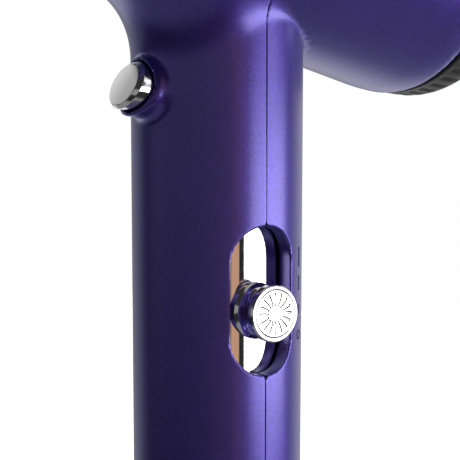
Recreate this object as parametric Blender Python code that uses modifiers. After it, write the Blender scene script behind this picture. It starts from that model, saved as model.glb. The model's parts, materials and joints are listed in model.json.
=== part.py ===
"""Travel hair dryer, built as the assembly that comes apart on a bench.

Row frame: metres, +Z up, the nozzle points along -X, the thumb switch is on the -Y side.
Two frames carry the parts. The barrel frame's Z runs along the barrel, from nozzle to intake.
The handle frame's Z runs up the handle, its X to the rear, and it leans by CANT from the barrel's square.
Both start where the two axes meet, at (AXIS_X, 0, AXIS_Z).
"""

import math

import bmesh
import bpy
from mathutils import Vector

mm = 0.001
GAP = 0.3 * mm  # between pieces that touch on the real object

# Where the barrel's axis meets the handle's axis, so that the origin is under the middle of the whole
AXIS_X = 15.5 * mm
AXIS_Z = 145.21 * mm
CANT = math.radians(8)

# Barrel, measured along its axis from the handle's axis, front negative
WALL = 2.2 * mm
TUBE_R = 23.0 * mm
CONE_ANGLE = math.radians(8.6)
CONE_START = -25.5 * mm
CONE_END = 46.0 * mm
FLARE_BLEND_R = 80.0 * mm
REAR_BLEND_R = 51.0 * mm
HOUSING_REAR = 53.0 * mm
SPIGOT_STEP = -60.0 * mm
SPIGOT_TIP = -70.0 * mm
SPIGOT_R = 21.2 * mm
SPIGOT_BORE_R = 19.2 * mm

# Handle, measured down its axis from the barrel's axis
HANDLE_P = 18.0 * mm  # half width, side to side
HANDLE_Q = 18.8 * mm  # half depth, front to back
HANDLE_TAPER = 0.0045  # loss of half width for each unit down the handle
TAPER_FROM = 40.0 * mm
HANDLE_TOP = 8.0 * mm
HANDLE_END = 134.0 * mm
END_ROUND = 4.0 * mm
FILLET_R = 11.0 * mm
FILLET_START = 32.4 * mm
FILLET_SWEEP = math.radians(82)

# Thumb switch: a slot with a deep well, four stops, and the knob at the second stop
SLOT_AT = 84.95 * mm
SLOT_HALF_W = 7.9 * mm
SLOT_HALF_L = 15.75 * mm
WELL_WALL = 1.6 * mm
PLATE_R = 13.8 * mm
PLATE_T = 0.8 * mm
KNOB_AT = 87.3 * mm
KNOB_R = 6.05 * mm
FLANGE_R = 5.85 * mm
KNOB_FACE = 21.0 * mm

# Cool-shot button on the front of the handle. Its face and its collar's rim lean back towards the top
BUTTON_AT = 40.4 * mm
BUTTON_TILT = math.radians(10)
BUTTON_R = 5.3 * mm
FACE_SLANT = 0.3
BOSS_HALF_UP = 6.8 * mm
BOSS_HALF_ACROSS = 7.8 * mm
BOSS_DOWN = 0.5 * mm
BOSS_BACK = -6.0 * mm
RIM_HEIGHT = 3.0 * mm
RIM_SLANT = 0.08
RIM_ROUND_R = 8.6 * mm

# Posts and screws that hold the two housings together
POST_PLACES = (60.0 * mm, 111.0 * mm)
CLAMP_AT = 122.0 * mm
CLAMP_SCREW_Y = 6.2 * mm


def clear_scene():
    for obj in list(bpy.data.objects):
        bpy.data.objects.remove(obj)


def new_collection(name):
    collection = bpy.data.collections.new(name)
    bpy.context.scene.collection.children.link(collection)
    return collection


def new_frame(name, location, tilt, parent=None):
    """An empty that parts are placed in. tilt is its rotation about Y."""
    empty = bpy.data.objects.new(name, None)
    empty.location = location
    empty.rotation_euler = (0, tilt, 0)
    empty.parent = parent
    PARTS.objects.link(empty)
    return empty


def new_material(name, colour, roughness, metallic=0.0):
    material = bpy.data.materials.new(name)
    material.use_nodes = True
    shader = material.node_tree.nodes["Principled BSDF"]
    shader.inputs["Base Color"].default_value = (*colour, 1.0)
    shader.inputs["Roughness"].default_value = roughness
    shader.inputs["Metallic"].default_value = metallic
    return material


def place(obj, parent, material=None, location=(0, 0, 0), rotation=(0, 0, 0)):
    """Puts an object in its frame. An object with no material is a cutter or a helper."""
    obj.parent = parent
    obj.location = location
    obj.rotation_euler = rotation
    if material is None:
        CUTTERS.objects.link(obj)
        obj.hide_render = True
        obj.display_type = "WIRE"
    else:
        PARTS.objects.link(obj)
        obj.data.materials.append(material)
    return obj


def object_from_bmesh(name, bm, smooth=True):
    bmesh.ops.recalc_face_normals(bm, faces=bm.faces)
    if bm.calc_volume(signed=True) < 0:
        bmesh.ops.reverse_faces(bm, faces=bm.faces)
    mesh = bpy.data.meshes.new(name)
    bm.to_mesh(mesh)
    bm.free()
    if smooth:
        mesh.shade_smooth()
        mesh.set_sharp_from_angle(angle=math.radians(35))
    return bpy.data.objects.new(name, mesh)


def box(name, size, centre=(0, 0, 0)):
    bm = bmesh.new()
    bmesh.ops.create_cube(bm, size=1)
    for v in bm.verts:
        v.co = Vector(centre) + Vector((v.co[i] * size[i] for i in range(3)))
    return object_from_bmesh(name, bm, smooth=False)


def rod(name, radius, start, end, axis="Z", across=(0, 0), segments=24):
    """A cylinder along one axis of its frame, from start to end, at the place across on the other two."""
    bm = bmesh.new()
    bmesh.ops.create_cone(
        bm, cap_ends=True, segments=segments, radius1=radius, radius2=radius, depth=end - start
    )
    for v in bm.verts:
        x, y, z = v.co
        z += (start + end) / 2
        a, b = across
        v.co = {"Z": (x + a, y + b, z), "X": (z, x + a, y + b), "Y": (x + a, z, y + b)}[axis]
    return object_from_bmesh(name, bm)


def stadium(name, half_width, half_length, low, high, segments=32):
    """A slot-shaped prism, long along Z, that runs along Y from low to high."""
    bm = bmesh.new()
    bmesh.ops.create_cone(
        bm, cap_ends=True, segments=segments, radius1=half_width, radius2=half_width, depth=high - low
    )
    half_step = math.pi / segments
    for v in bm.verts:
        angle = math.atan2(v.co.y, v.co.x) + half_step
        straight = math.copysign(half_length - half_width, math.sin(angle))
        v.co = (
            half_width * math.cos(angle),
            v.co.z + (low + high) / 2,
            half_width * math.sin(angle) + straight,
        )
    return object_from_bmesh(name, bm)


def turned(name, profile, steps=40, closed=True):
    """A profile of (radius, height) points turned about Z. It runs down its outer side.
    A closed profile makes a ring, and an open one starts and ends on the axis."""
    mesh = bpy.data.meshes.new(name)
    points = [(r, 0, z) for r, z in profile]
    edges = [(i, i + 1) for i in range(len(points) - 1)]
    if closed:
        edges.append((len(points) - 1, 0))
    mesh.from_pydata(points, edges, [])
    obj = bpy.data.objects.new(name, mesh)
    screw = obj.modifiers.new("turn", "SCREW")
    screw.axis = "Z"
    screw.steps = steps
    screw.render_steps = steps
    screw.use_merge_vertices = True
    screw.merge_threshold = 0.00001
    screw.use_smooth_shade = True
    return obj


def lofted(name, rings, tube=False):
    """Faces between rings of equal counts. A tube's last ring joins its first, else both ends are capped."""
    bm = bmesh.new()
    made = [[bm.verts.new(p) for p in ring] for ring in rings]
    pairs = list(zip(made, made[1:]))
    if tube:
        pairs.append((made[-1], made[0]))
    for a, b in pairs:
        for i in range(len(a)):
            j = (i + 1) % len(a)
            bm.faces.new((a[i], a[j], b[j], b[i]))
    if not tube:
        bm.faces.new(made[0])
        bm.faces.new(made[-1])
    return object_from_bmesh(name, bm)


def wire(name, points, radius, sides=1):
    """A round wire along points. sides is the curve's bevel resolution."""
    curve = bpy.data.curves.new(name, "CURVE")
    curve.dimensions = "3D"
    curve.bevel_depth = radius
    curve.bevel_resolution = sides
    curve.use_fill_caps = True
    spline = curve.splines.new("POLY")
    spline.points.add(len(points) - 1)
    for spot, p in zip(spline.points, points):
        spot.co = (*p, 1)
    return bpy.data.objects.new(name, curve)


def boolean(obj, operation, *others):
    for other in others:
        modifier = obj.modifiers.new(other.name, "BOOLEAN")
        modifier.operation = operation
        modifier.solver = "EXACT"
        modifier.object = other
    return obj


def helix(radius, start, end, turns, per_turn, phase=0.0):
    count = int(turns * per_turn)
    points = []
    for i in range(count + 1):
        angle = phase + 2 * math.pi * i / per_turn
        z = start + (end - start) * i / count
        points.append((radius * math.cos(angle), radius * math.sin(angle), z))
    return points


def smooth_route(knots, per_span=5):
    """Points on a Catmull-Rom curve through the knots."""
    ends = [Vector(knots[0]) * 2 - Vector(knots[1]), Vector(knots[-1]) * 2 - Vector(knots[-2])]
    pts = [ends[0], *[Vector(k) for k in knots], ends[1]]
    route = []
    for a, b, c, d in zip(pts, pts[1:], pts[2:], pts[3:]):
        for i in range(per_span):
            t = i / per_span
            route.append(
                0.5 * (2 * b + (c - a) * t + (2 * a - 5 * b + 4 * c - d) * t**2
                       + (3 * b - a - 3 * c + d) * t**3)
            )
    route.append(pts[-2])
    return route


def arc_points(centre, radius, start, end, count):
    """Points on an arc in a (radius, height) profile, angles in degrees from the radius direction."""
    points = []
    for i in range(count + 1):
        a = math.radians(start + (end - start) * i / count)
        points.append((centre[0] + radius * math.cos(a), centre[1] + radius * math.sin(a)))
    return points


# ---------------------------------------------------------------- housings


def barrel_radius(x):
    """Outer radius of the barrel: a tube, a long cone to the rear, and a blend into each."""
    cone_low = TUBE_R + FLARE_BLEND_R * (1 - math.cos(CONE_ANGLE))
    blend_start = CONE_START - FLARE_BLEND_R * math.sin(CONE_ANGLE)
    if x <= blend_start:
        return TUBE_R
    if x <= CONE_START:
        return TUBE_R + FLARE_BLEND_R - math.sqrt(FLARE_BLEND_R**2 - (x - blend_start) ** 2)
    if x <= CONE_END:
        return cone_low + (x - CONE_START) * math.tan(CONE_ANGLE)
    cone_high = cone_low + (CONE_END - CONE_START) * math.tan(CONE_ANGLE)
    crown = CONE_END + REAR_BLEND_R * math.sin(CONE_ANGLE)
    drop = REAR_BLEND_R - math.sqrt(REAR_BLEND_R**2 - (x - crown) ** 2)
    return cone_high + REAR_BLEND_R * (1 - math.cos(CONE_ANGLE)) - drop


BARREL_STATIONS = [s * mm for s in (53, 51, 48.5, 46, 0, -25.5, -29, -33, -38, -60)]


def barrel_solid(name, inset, low, high):
    """The turned inside or outside of the barrel, from low to high."""
    spigot = SPIGOT_BORE_R if inset else SPIGOT_R
    step = SPIGOT_STEP + inset / 2
    outline = [(barrel_radius(min(s, HOUSING_REAR)) - inset, s) for s in BARREL_STATIONS[1:-1]]
    profile = [(0, high), (barrel_radius(HOUSING_REAR) - inset, high), *outline]
    profile += [(TUBE_R - inset, step), (spigot, step), (spigot, low), (0, low)]
    return turned(name, profile, steps=48, closed=False)


def handle_section(down, inset, points=40):
    """One ring of the handle. Near the barrel its front half swells along the fillet."""
    swell = 0.0
    if down < FILLET_START:
        rise = min(FILLET_START - down, FILLET_R * math.sin(FILLET_SWEEP))
        swell = FILLET_R - math.sqrt(FILLET_R**2 - rise**2)
    loss = HANDLE_TAPER * max(0.0, down - TAPER_FROM)
    into_end = down - (HANDLE_END - END_ROUND)
    if into_end > 0:
        loss += END_ROUND - math.sqrt(max(0.0, END_ROUND**2 - into_end**2))
    side, depth = HANDLE_P - loss - inset, HANDLE_Q - loss - inset
    ring = []
    for i in range(points):
        a = 2 * math.pi * i / points
        reach = depth + (swell if math.cos(a) < -1e-9 else 0.0)
        ring.append((reach * math.cos(a), side * math.sin(a), -down))
    return ring


def handle_solid(name, inset):
    fillet_top = FILLET_START - FILLET_R * math.sin(FILLET_SWEEP)
    stations = [HANDLE_TOP, fillet_top]
    stations += [FILLET_START - FILLET_R * math.sin(FILLET_SWEEP * k / 5) for k in (4, 3, 2, 1)]
    stations += [FILLET_START, TAPER_FROM]
    if inset:
        stations += [HANDLE_END - END_ROUND, HANDLE_END - inset - GAP]
    else:
        stations += [HANDLE_END - END_ROUND * (1 - s) for s in (0.0, 0.5, 0.8, 0.95, 1.0)]
        # the last ring is the flat end, so it stops just short of the round's own end
        stations[-1] = HANDLE_END
    return lofted(name, [handle_section(s, inset) for s in stations])


def switch_well():
    """The deep walls of the switch's slot, down to the sliding plate."""
    well = stadium(
        "switch_well", SLOT_HALF_W + WELL_WALL, SLOT_HALF_L + WELL_WALL, -HANDLE_P - 2 * mm, -9 * mm
    )
    place(well, HANDLE, location=(0, 0, -SLOT_AT))
    core = place(rod("well_core", PLATE_R + GAP, -70 * mm, 70 * mm, segments=48), HANDLE,
                 location=(0, 0, -SLOT_AT))
    boolean(well, "INTERSECT", place(handle_solid("well_trim", WALL / 2), HANDLE))
    boolean(well, "DIFFERENCE", core)
    return well


def housing(name, keeps_front):
    """One housing: barrel and handle joined, hollowed, and cut along the handle's middle plane."""
    shell = place(barrel_solid(name, 0, SPIGOT_TIP, HOUSING_REAR), BARREL, PURPLE)
    boolean(shell, "UNION", OUTER_HANDLE)
    boolean(shell, "DIFFERENCE", INNER_BARREL, INNER_HANDLE)
    boolean(shell, "UNION", WELL)
    boolean(shell, "DIFFERENCE", SLOT_CUT, GLAND_CUT)
    block = box(name + "_parting", [0.3] * 3, ((0.15 - GAP / 2) * (1 if keeps_front else -1), 0, 0))
    boolean(shell, "DIFFERENCE", place(block, HANDLE))
    return shell


def front_housing():
    shell = housing("front_housing", keeps_front=True)
    boss = rod("button_boss", BOSS_HALF_ACROSS, BOSS_BACK, 9 * mm, segments=32)
    for vertex in boss.data.vertices:
        vertex.co.x *= BOSS_HALF_UP / BOSS_HALF_ACROSS
    place(boss, BUTTON, location=(-BOSS_DOWN, 0, 0))
    # the collar's rim is rounded from side to side, and leans back towards its top
    lean = math.atan(RIM_SLANT)
    rim_length = 30 * mm
    below = rim_length / 2 - RIM_ROUND_R
    rim = place(stadium("button_rim", RIM_ROUND_R, rim_length / 2, -20 * mm, 20 * mm), BUTTON,
                location=(-below * math.sin(lean), 0,
                          RIM_HEIGHT - RIM_ROUND_R / math.cos(lean) - below * math.cos(lean)),
                rotation=(lean, 0, math.pi / 2))
    boolean(boss, "INTERSECT", rim)
    bore = place(rod("button_bore", BUTTON_R + GAP, -9 * mm, 12 * mm, segments=32), BUTTON)
    for n, down in enumerate(POST_PLACES, 1):
        post = rod(f"front_post_{n}", 3.6 * mm, -17.2 * mm, -GAP / 2, "X")
        pilot = rod(f"front_pilot_{n}", 1.5 * mm, -11 * mm, 1 * mm, "X", (0, -down), 12)
        # turned a little, so that no edge of the post meets one of the handle's
        place(post, HANDLE, location=(0, 0, -down), rotation=(math.radians(7), 0, 0))
        boolean(shell, "UNION", post)
        boolean(shell, "DIFFERENCE", place(pilot, HANDLE))
    boolean(shell, "UNION", boss)
    boolean(shell, "DIFFERENCE", bore)


def rear_housing():
    shell = housing("rear_housing", keeps_front=False)
    for n, down in enumerate(POST_PLACES, 1):
        across = (0, -down)
        post = rod(f"rear_post_{n}", 4.4 * mm, GAP / 2, 17.4 * mm, "X", across)
        sink = rod(f"rear_sink_{n}", 3.2 * mm, 8.2 * mm, 25 * mm, "X", across)
        hole = rod(f"rear_hole_{n}", 1.6 * mm, -1 * mm, 9 * mm, "X", across, 12)
        boolean(shell, "UNION", place(post, HANDLE))
        boolean(shell, "DIFFERENCE", place(sink, HANDLE), place(hole, HANDLE))
    for n, side in enumerate((-1, 1), 1):
        across = (side * CLAMP_SCREW_Y, -CLAMP_AT)
        post = rod(f"clamp_post_{n}", 2.6 * mm, 6.5 * mm, 15.9 * mm, "X", across, 16)
        pilot = rod(f"clamp_pilot_{n}", 1.3 * mm, 5 * mm, 14 * mm, "X", across, 12)
        boolean(shell, "UNION", place(post, HANDLE))
        boolean(shell, "DIFFERENCE", place(pilot, HANDLE))
    for n, (across_x, across_y) in enumerate(duct_screw_places(), 1):
        across = (across_x, across_y)
        post = rod(f"duct_post_{n}", 2.6 * mm, 31 * mm, DUCT_FLANGE - GAP, "Z", across, 16)
        pilot = rod(f"duct_pilot_{n}", 1.4 * mm, 32.5 * mm, 40 * mm, "Z", across, 12)
        boolean(shell, "UNION", place(post, BARREL))
        boolean(shell, "DIFFERENCE", place(pilot, BARREL))
    boolean(shell, "DIFFERENCE", LOOP_CUT)


# ---------------------------------------------------------------- nozzle, grilles and filter

NOZZLE_BACK = SPIGOT_STEP - 0.4 * mm
NOZZLE_COLLAR = -73.0 * mm
NOZZLE_TIP = -96.0 * mm
NOZZLE_R = 23.2 * mm
NOZZLE_WALL = 1.6 * mm
MOUTH_HALF_W = 28.0 * mm
MOUTH_HALF_H = 4.9 * mm


def nozzle_ring(x, inset, points=36):
    """A section of the nozzle: round at the collar, a flat slot at the mouth."""
    t = min(1.0, max(0.0, (NOZZLE_COLLAR - x) / (NOZZLE_COLLAR - NOZZLE_TIP)))
    t = t * t * (3 - 2 * t)
    half_w = NOZZLE_R + (MOUTH_HALF_W - NOZZLE_R) * t - inset
    half_h = NOZZLE_R + (MOUTH_HALF_H - NOZZLE_R) * t - inset
    power = 2 / (2 + 2 * t)
    ring = []
    for i in range(points):
        a = 2 * math.pi * (i + 0.5) / points
        c, s = math.cos(a), math.sin(a)
        ring.append((
            math.copysign(abs(c) ** power * half_h, c),
            math.copysign(abs(s) ** power * half_w, s),
            x,
        ))
    return ring


def concentrator_nozzle():
    stations = [NOZZLE_BACK, NOZZLE_COLLAR]
    stations += [NOZZLE_COLLAR + (NOZZLE_TIP - NOZZLE_COLLAR) * k / 7 for k in range(1, 8)]
    outside = [nozzle_ring(x, 0) for x in stations]
    inside = [nozzle_ring(x, NOZZLE_WALL) for x in reversed(stations)]
    place(lofted("concentrator_nozzle", outside + inside, tube=True), BARREL, BLACK)


def outlet_grille():
    """The finger guard in the outlet: three rings on four bars."""
    low, high = -68.0 * mm, -65.6 * mm

    def ring(name, outer, inner, material=None):
        profile = [(outer, high), (outer, low), (inner, low), (inner, high)]
        return place(turned(name, profile, steps=36), BARREL, material)

    guard = ring("outlet_grille", SPIGOT_BORE_R - GAP, 17.4 * mm, BLACK)
    hub = place(rod("grille_hub", 2.6 * mm, low + 0.2 * mm, high - 0.2 * mm, segments=16), BARREL)
    middle = ring("grille_ring_1", 13.1 * mm, 11.7 * mm)
    inner = ring("grille_ring_2", 8.0 * mm, 6.7 * mm)
    boolean(guard, "UNION", middle, inner, hub)
    for n in range(3):
        bar = box(f"grille_bar_{n}", (36.0 * mm, 1.3 * mm, 1.6 * mm), (0, 0, (low + high) / 2))
        boolean(guard, "UNION", place(bar, BARREL, rotation=(0, 0, math.pi * n / 3)))


COVER_FRONT = HOUSING_REAR + 0.4 * mm
COVER_REAR = 65.0 * mm
COVER_R = 35.0 * mm
COVER_FACE_R = 28.5 * mm


def intake_cover():
    """The twist-off rear cover, with a collar that locks inside the housing and radial air slots."""
    rim = arc_points((COVER_FACE_R, COVER_FRONT + 3 * mm), COVER_R - COVER_FACE_R, 75, 0, 4)
    thick = 1.8 * mm
    profile = [
        (0, COVER_REAR), (COVER_FACE_R - 2 * mm, COVER_REAR), *rim[1:], (COVER_R, COVER_FRONT),
        (32.3 * mm, COVER_FRONT), (32.3 * mm, 49.2 * mm), (30.6 * mm, 49.2 * mm),
        (30.6 * mm, COVER_FRONT + 4 * mm), (COVER_FACE_R - 3 * mm, COVER_REAR - thick),
        (0, COVER_REAR - thick),
    ]
    cover = place(turned("intake_cover", profile, steps=40, closed=False), BARREL, BLACK)
    for n in range(18):
        slot = box(f"air_slot_{n}", (13.0 * mm, 2.0 * mm, 8 * mm), (17.5 * mm, 0, COVER_REAR))
        boolean(cover, "DIFFERENCE", place(slot, BARREL, rotation=(0, 0, 2 * math.pi * n / 18)))


def intake_filter():
    """The fine wire screen that lies inside the cover."""
    low, high = 60.2 * mm, 60.7 * mm
    profile = [(0, high), (25.5 * mm, high), (25.5 * mm, low), (0, low)]
    place(turned("intake_filter", profile, steps=32, closed=False), BARREL, STEEL)


# ---------------------------------------------------------------- fan and motor

DUCT_REAR = 40.0 * mm
DUCT_FLANGE = 38.0 * mm
DUCT_FRONT = -6.0 * mm
DUCT_R = 24.4 * mm
DUCT_FRONT_R = 20.9 * mm
DUCT_WALL = 1.0 * mm
DUCT_SCREW_R = 28.3 * mm
MOTOR_R = 11.8 * mm
MOTOR_FRONT = -3.0 * mm
MOTOR_REAR = 26.0 * mm
SHAFT_R = 1.15 * mm
FAN_FRONT, FAN_REAR = 28.0 * mm, 37.6 * mm
FAN_BLADES = 8
STATOR_VANES = 7


def duct_screw_places():
    angles = (math.pi / 3 * k for k in (1, 3, 5))
    return [(DUCT_SCREW_R * math.cos(a), DUCT_SCREW_R * math.sin(a)) for a in angles]


def fan_duct():
    """The air duct, the ring that grips the motor, and the vanes between them."""
    outer = DUCT_R + DUCT_WALL
    profile = [
        (30.7 * mm, DUCT_REAR), (30.7 * mm, DUCT_FLANGE), (outer, DUCT_FLANGE), (outer, 8 * mm),
        (DUCT_FRONT_R + DUCT_WALL, DUCT_FRONT), (DUCT_FRONT_R, DUCT_FRONT), (DUCT_R, 8 * mm),
        (DUCT_R, DUCT_REAR),
    ]
    duct = place(turned("fan_duct", profile, steps=40), BARREL, IVORY)
    grip = [(MOTOR_R + 1.5 * mm, 25 * mm), (MOTOR_R + 1.5 * mm, 4 * mm), (MOTOR_R + GAP, 4 * mm),
            (MOTOR_R + GAP, 25 * mm)]
    boolean(duct, "UNION", place(turned("motor_grip", grip, steps=28), BARREL))
    for n in range(STATOR_VANES):
        vane = box(f"vane_{n}", (12.0 * mm, 1.0 * mm, 12.0 * mm), (18.8 * mm, 0, 16 * mm))
        turn = 2 * math.pi * (n + 0.5) / STATOR_VANES
        boolean(duct, "UNION", place(vane, BARREL, rotation=(0, 0, turn)))
    for n, across in enumerate(duct_screw_places(), 1):
        hole = rod(f"duct_hole_{n}", 1.5 * mm, 36 * mm, 42 * mm, "Z", across, 12)
        boolean(duct, "DIFFERENCE", place(hole, BARREL))
        duct_screw(n, across)


def screw_part(name, parent, axis, across, head_at, head_h, head_r, tip_at, shank_r):
    """A pan-head screw along one axis, its head at head_at and its point at tip_at."""
    inward = math.copysign(1, tip_at - head_at)
    low, high = sorted((head_at, head_at + inward * head_h))
    head = rod(name, head_r, low, high, axis, across, 16)
    low, high = sorted((head_at + inward * 0.5 * mm, tip_at))
    shank = place(rod(name + "_shank", shank_r, low, high, axis, across, 10), parent)
    boolean(place(head, parent, STEEL), "UNION", shank)
    low, high = sorted((head_at - inward * 1 * mm, head_at + inward * 0.9 * mm))
    for n, (wide, tall) in enumerate(((0.7, 2.6), (2.6, 0.7))):
        slot = box(f"{name}_slot_{n}", (1, 1, 1))
        size = {"Z": (wide * mm, tall * mm, high - low), "X": (high - low, wide * mm, tall * mm)}[axis]
        middle = (low + high) / 2
        centre = {"Z": (*across, middle), "X": (middle, *across)}[axis]
        for v in slot.data.vertices:
            v.co = Vector(centre) + Vector((v.co[i] * size[i] for i in range(3)))
        boolean(head, "DIFFERENCE", place(slot, parent))


def duct_screw(n, across):
    screw_part(f"duct_screw_{n}", BARREL, "Z", across, 41.9 * mm, 1.6 * mm, 2.2 * mm, 34 * mm, 1.0 * mm)


def motor():
    back = MOTOR_REAR
    profile = [
        (1.5 * mm, back + 1 * mm), (4 * mm, back + 1 * mm), (4 * mm, back), (MOTOR_R - 1 * mm, back),
        (MOTOR_R, back - 1 * mm), (MOTOR_R, MOTOR_FRONT), (1.5 * mm, MOTOR_FRONT),
    ]
    place(turned("motor_can", profile, steps=32), BARREL, STEEL)
    low = MOTOR_FRONT - 3.4 * mm
    high = MOTOR_FRONT - GAP
    cap = [(0, high), (MOTOR_R, high), (MOTOR_R, low + 1 * mm), (MOTOR_R - 1 * mm, low), (4 * mm, low),
           (3 * mm, low - 1.6 * mm), (0, low - 1.6 * mm)]
    place(turned("motor_end_cap", cap, steps=28, closed=False), BARREL, BLACK)


def fan_rotor():
    """The shaft and the impeller, which spin together."""
    place(rod("motor_shaft", SHAFT_R, MOTOR_FRONT + 1 * mm, FAN_REAR - 1 * mm, segments=16), BARREL, STEEL)
    bore = SHAFT_R + GAP
    hub_r = 8.6 * mm
    hub = [(0, FAN_REAR + 1.6 * mm), (5.0 * mm, FAN_REAR + 1.0 * mm), (hub_r, FAN_REAR - 1.6 * mm),
           (hub_r, FAN_FRONT), (bore, FAN_FRONT), (bore, FAN_REAR - 0.6 * mm), (0, FAN_REAR - 0.6 * mm)]
    fan = place(turned("impeller", hub, steps=28, closed=False), BARREL, BLACK)
    middle = (FAN_FRONT + FAN_REAR) / 2
    for n in range(FAN_BLADES):
        rings = []
        for k in range(4):
            reach = (7.6 + (23.2 - 7.6) * k / 3) * mm
            pitch = math.radians(38 + 20 * k / 3)
            half_chord, half_t = 5.4 * mm, 0.5 * mm
            along = Vector((0, math.sin(pitch), math.cos(pitch)))
            thick = Vector((0, math.cos(pitch), -math.sin(pitch)))
            corners = ((1, 1), (1, -1), (-1, -1), (-1, 1))
            rings.append([
                Vector((reach, 0, 0)) + along * half_chord * a * 0.8 + thick * half_t * b
                for a, b in corners
            ])
        blade = lofted(f"blade_{n}", rings)
        turn = 2 * math.pi * n / FAN_BLADES
        boolean(fan, "UNION", place(blade, BARREL, location=(0, 0, middle), rotation=(0, 0, turn)))


# ---------------------------------------------------------------- heater

HEATER_FRONT = -57.0 * mm
HEATER_REAR = -9.6 * mm
SLEEVE_R = 20.3 * mm
BOARD_HALF_W = 17.4 * mm
COIL_R = 18.4 * mm


def heater_board(name, upright):
    """One of the two mica boards. Each is slotted for half its length, so that they cross."""
    front, rear, thick = HEATER_FRONT + 2 * mm, HEATER_REAR - 2 * mm, 0.7 * mm
    middle = (front + rear) / 2
    wide = 2 * BOARD_HALF_W
    size = (wide, thick, rear - front) if upright else (thick, wide, rear - front)
    board = place(box(name, size, (0, 0, middle)), BARREL, MICA)
    low, high = (front - 1 * mm, middle + GAP) if upright else (middle - GAP, rear + 1 * mm)
    gap = thick + 2 * GAP
    slot = box(name + "_slot", (gap, gap, high - low), (0, 0, (low + high) / 2))
    boolean(board, "DIFFERENCE", place(slot, BARREL))


def heater():
    profile = [(SLEEVE_R, HEATER_REAR), (SLEEVE_R, HEATER_FRONT), (SLEEVE_R - 0.6 * mm, HEATER_FRONT),
               (SLEEVE_R - 0.6 * mm, HEATER_REAR)]
    place(turned("heater_sleeve", profile, steps=36), BARREL, MICA)
    heater_board("heater_board_upright", upright=True)
    heater_board("heater_board_flat", upright=False)
    for name, low, high, turns in (("heater_coil_low", -53, -38, 3), ("heater_coil_high", -34, -14, 4)):
        points = helix(COIL_R, low * mm, high * mm, turns, 14)
        place(wire(name, points, 0.35 * mm, sides=0), BARREL, NICHROME)
    fuse = rod("thermal_fuse", 1.5 * mm, -30 * mm, -20 * mm, "Z", (7.0 * mm, 2.4 * mm), 12)
    place(fuse, BARREL, STEEL)
    thermostat = box("thermostat", (6 * mm, 2.6 * mm, 9 * mm), (-8 * mm, 2.4 * mm, -24 * mm))
    place(thermostat, BARREL, BRASS)


# ---------------------------------------------------------------- thumb switch


def knob_profile():
    """Half the knob, radius against distance out from the handle's axis: flange, waist and flat head."""
    base = 10.5 * mm
    neck = arc_points((KNOB_R + 1.9 * mm, 16.9 * mm), 3.0 * mm, 130, 230, 5)
    return [
        (0, KNOB_FACE), (KNOB_R - 0.5 * mm, KNOB_FACE), (KNOB_R, KNOB_FACE - 0.5 * mm),
        (KNOB_R, KNOB_FACE - 1.4 * mm), *neck, (FLANGE_R, 14.5 * mm), (FLANGE_R, base), (0, base),
    ]


def thumb_switch():
    """The knob and the plate that slide, the tab under them, and the switch that they work."""
    knob = place(turned("switch_knob", knob_profile(), steps=36, closed=False), KNOB, CHROME)
    seat = place(rod("knob_seat", PLATE_R + GAP, -20 * mm, 20 * mm, segments=64), HANDLE,
                 location=(0, 0, -KNOB_AT))
    boolean(knob, "DIFFERENCE", seat)
    stem = place(rod("knob_stem", 2.0 * mm, 9.3 * mm, 16 * mm, segments=12), KNOB)
    boolean(knob, "UNION", stem)

    half_angle, half_length = math.radians(40), 24.8 * mm
    rings = []
    for z in (-half_length, half_length):
        ring = []
        for radius, order in ((PLATE_R, range(13)), (PLATE_R - PLATE_T, range(12, -1, -1))):
            for k in order:
                a = -half_angle + 2 * half_angle * k / 12
                ring.append((radius * math.sin(a), -radius * math.cos(a), z))
        rings.append(ring)
    plate = place(lofted("switch_slide_plate", rings), HANDLE, CHROME, location=(0, 0, -KNOB_AT))
    hole = rod("stem_hole", 2.3 * mm, -15 * mm, -11 * mm, "Y", (0, 0), 12)
    boolean(plate, "DIFFERENCE", place(hole, HANDLE, location=(0, 0, -KNOB_AT)))

    tab = box("switch_actuator", (5.6 * mm, 4.4 * mm, 7 * mm), (0, -6.8 * mm, -KNOB_AT))
    place(tab, HANDLE, BLACK)

    body = box("slide_switch_body", (12 * mm, 8.6 * mm, 36 * mm), (0, -0.6 * mm, -SLOT_AT))
    body = place(body, HANDLE, BLACK)
    track = box("switch_track", (6.4 * mm, 2.2 * mm, 27 * mm), (0, -4.9 * mm, -SLOT_AT))
    boolean(body, "DIFFERENCE", place(track, HANDLE))


def electronics():
    """The board behind the switch, with its rectifier and suppression capacitor."""
    board_y = 5.0 * mm
    place(box("control_board", (21 * mm, 1.6 * mm, 40 * mm), (0, board_y, -SLOT_AT)), HANDLE, BOARD)
    part_y = board_y + 0.8 * mm + GAP
    for n in range(4):
        x = (-6 + 4 * n) * mm
        diode = rod(f"rectifier_diode_{n + 1}", 1.35 * mm, -74 * mm, -69 * mm, "Z",
                    (x, part_y + 1.35 * mm), 12)
        place(diode, HANDLE, BLACK)
    capacitor = box("suppression_capacitor", (12 * mm, 5.5 * mm, 11 * mm),
                    (0, part_y + 2.75 * mm, -90 * mm))
    place(capacitor, HANDLE, BRASS)


# ---------------------------------------------------------------- cool-shot button


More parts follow.
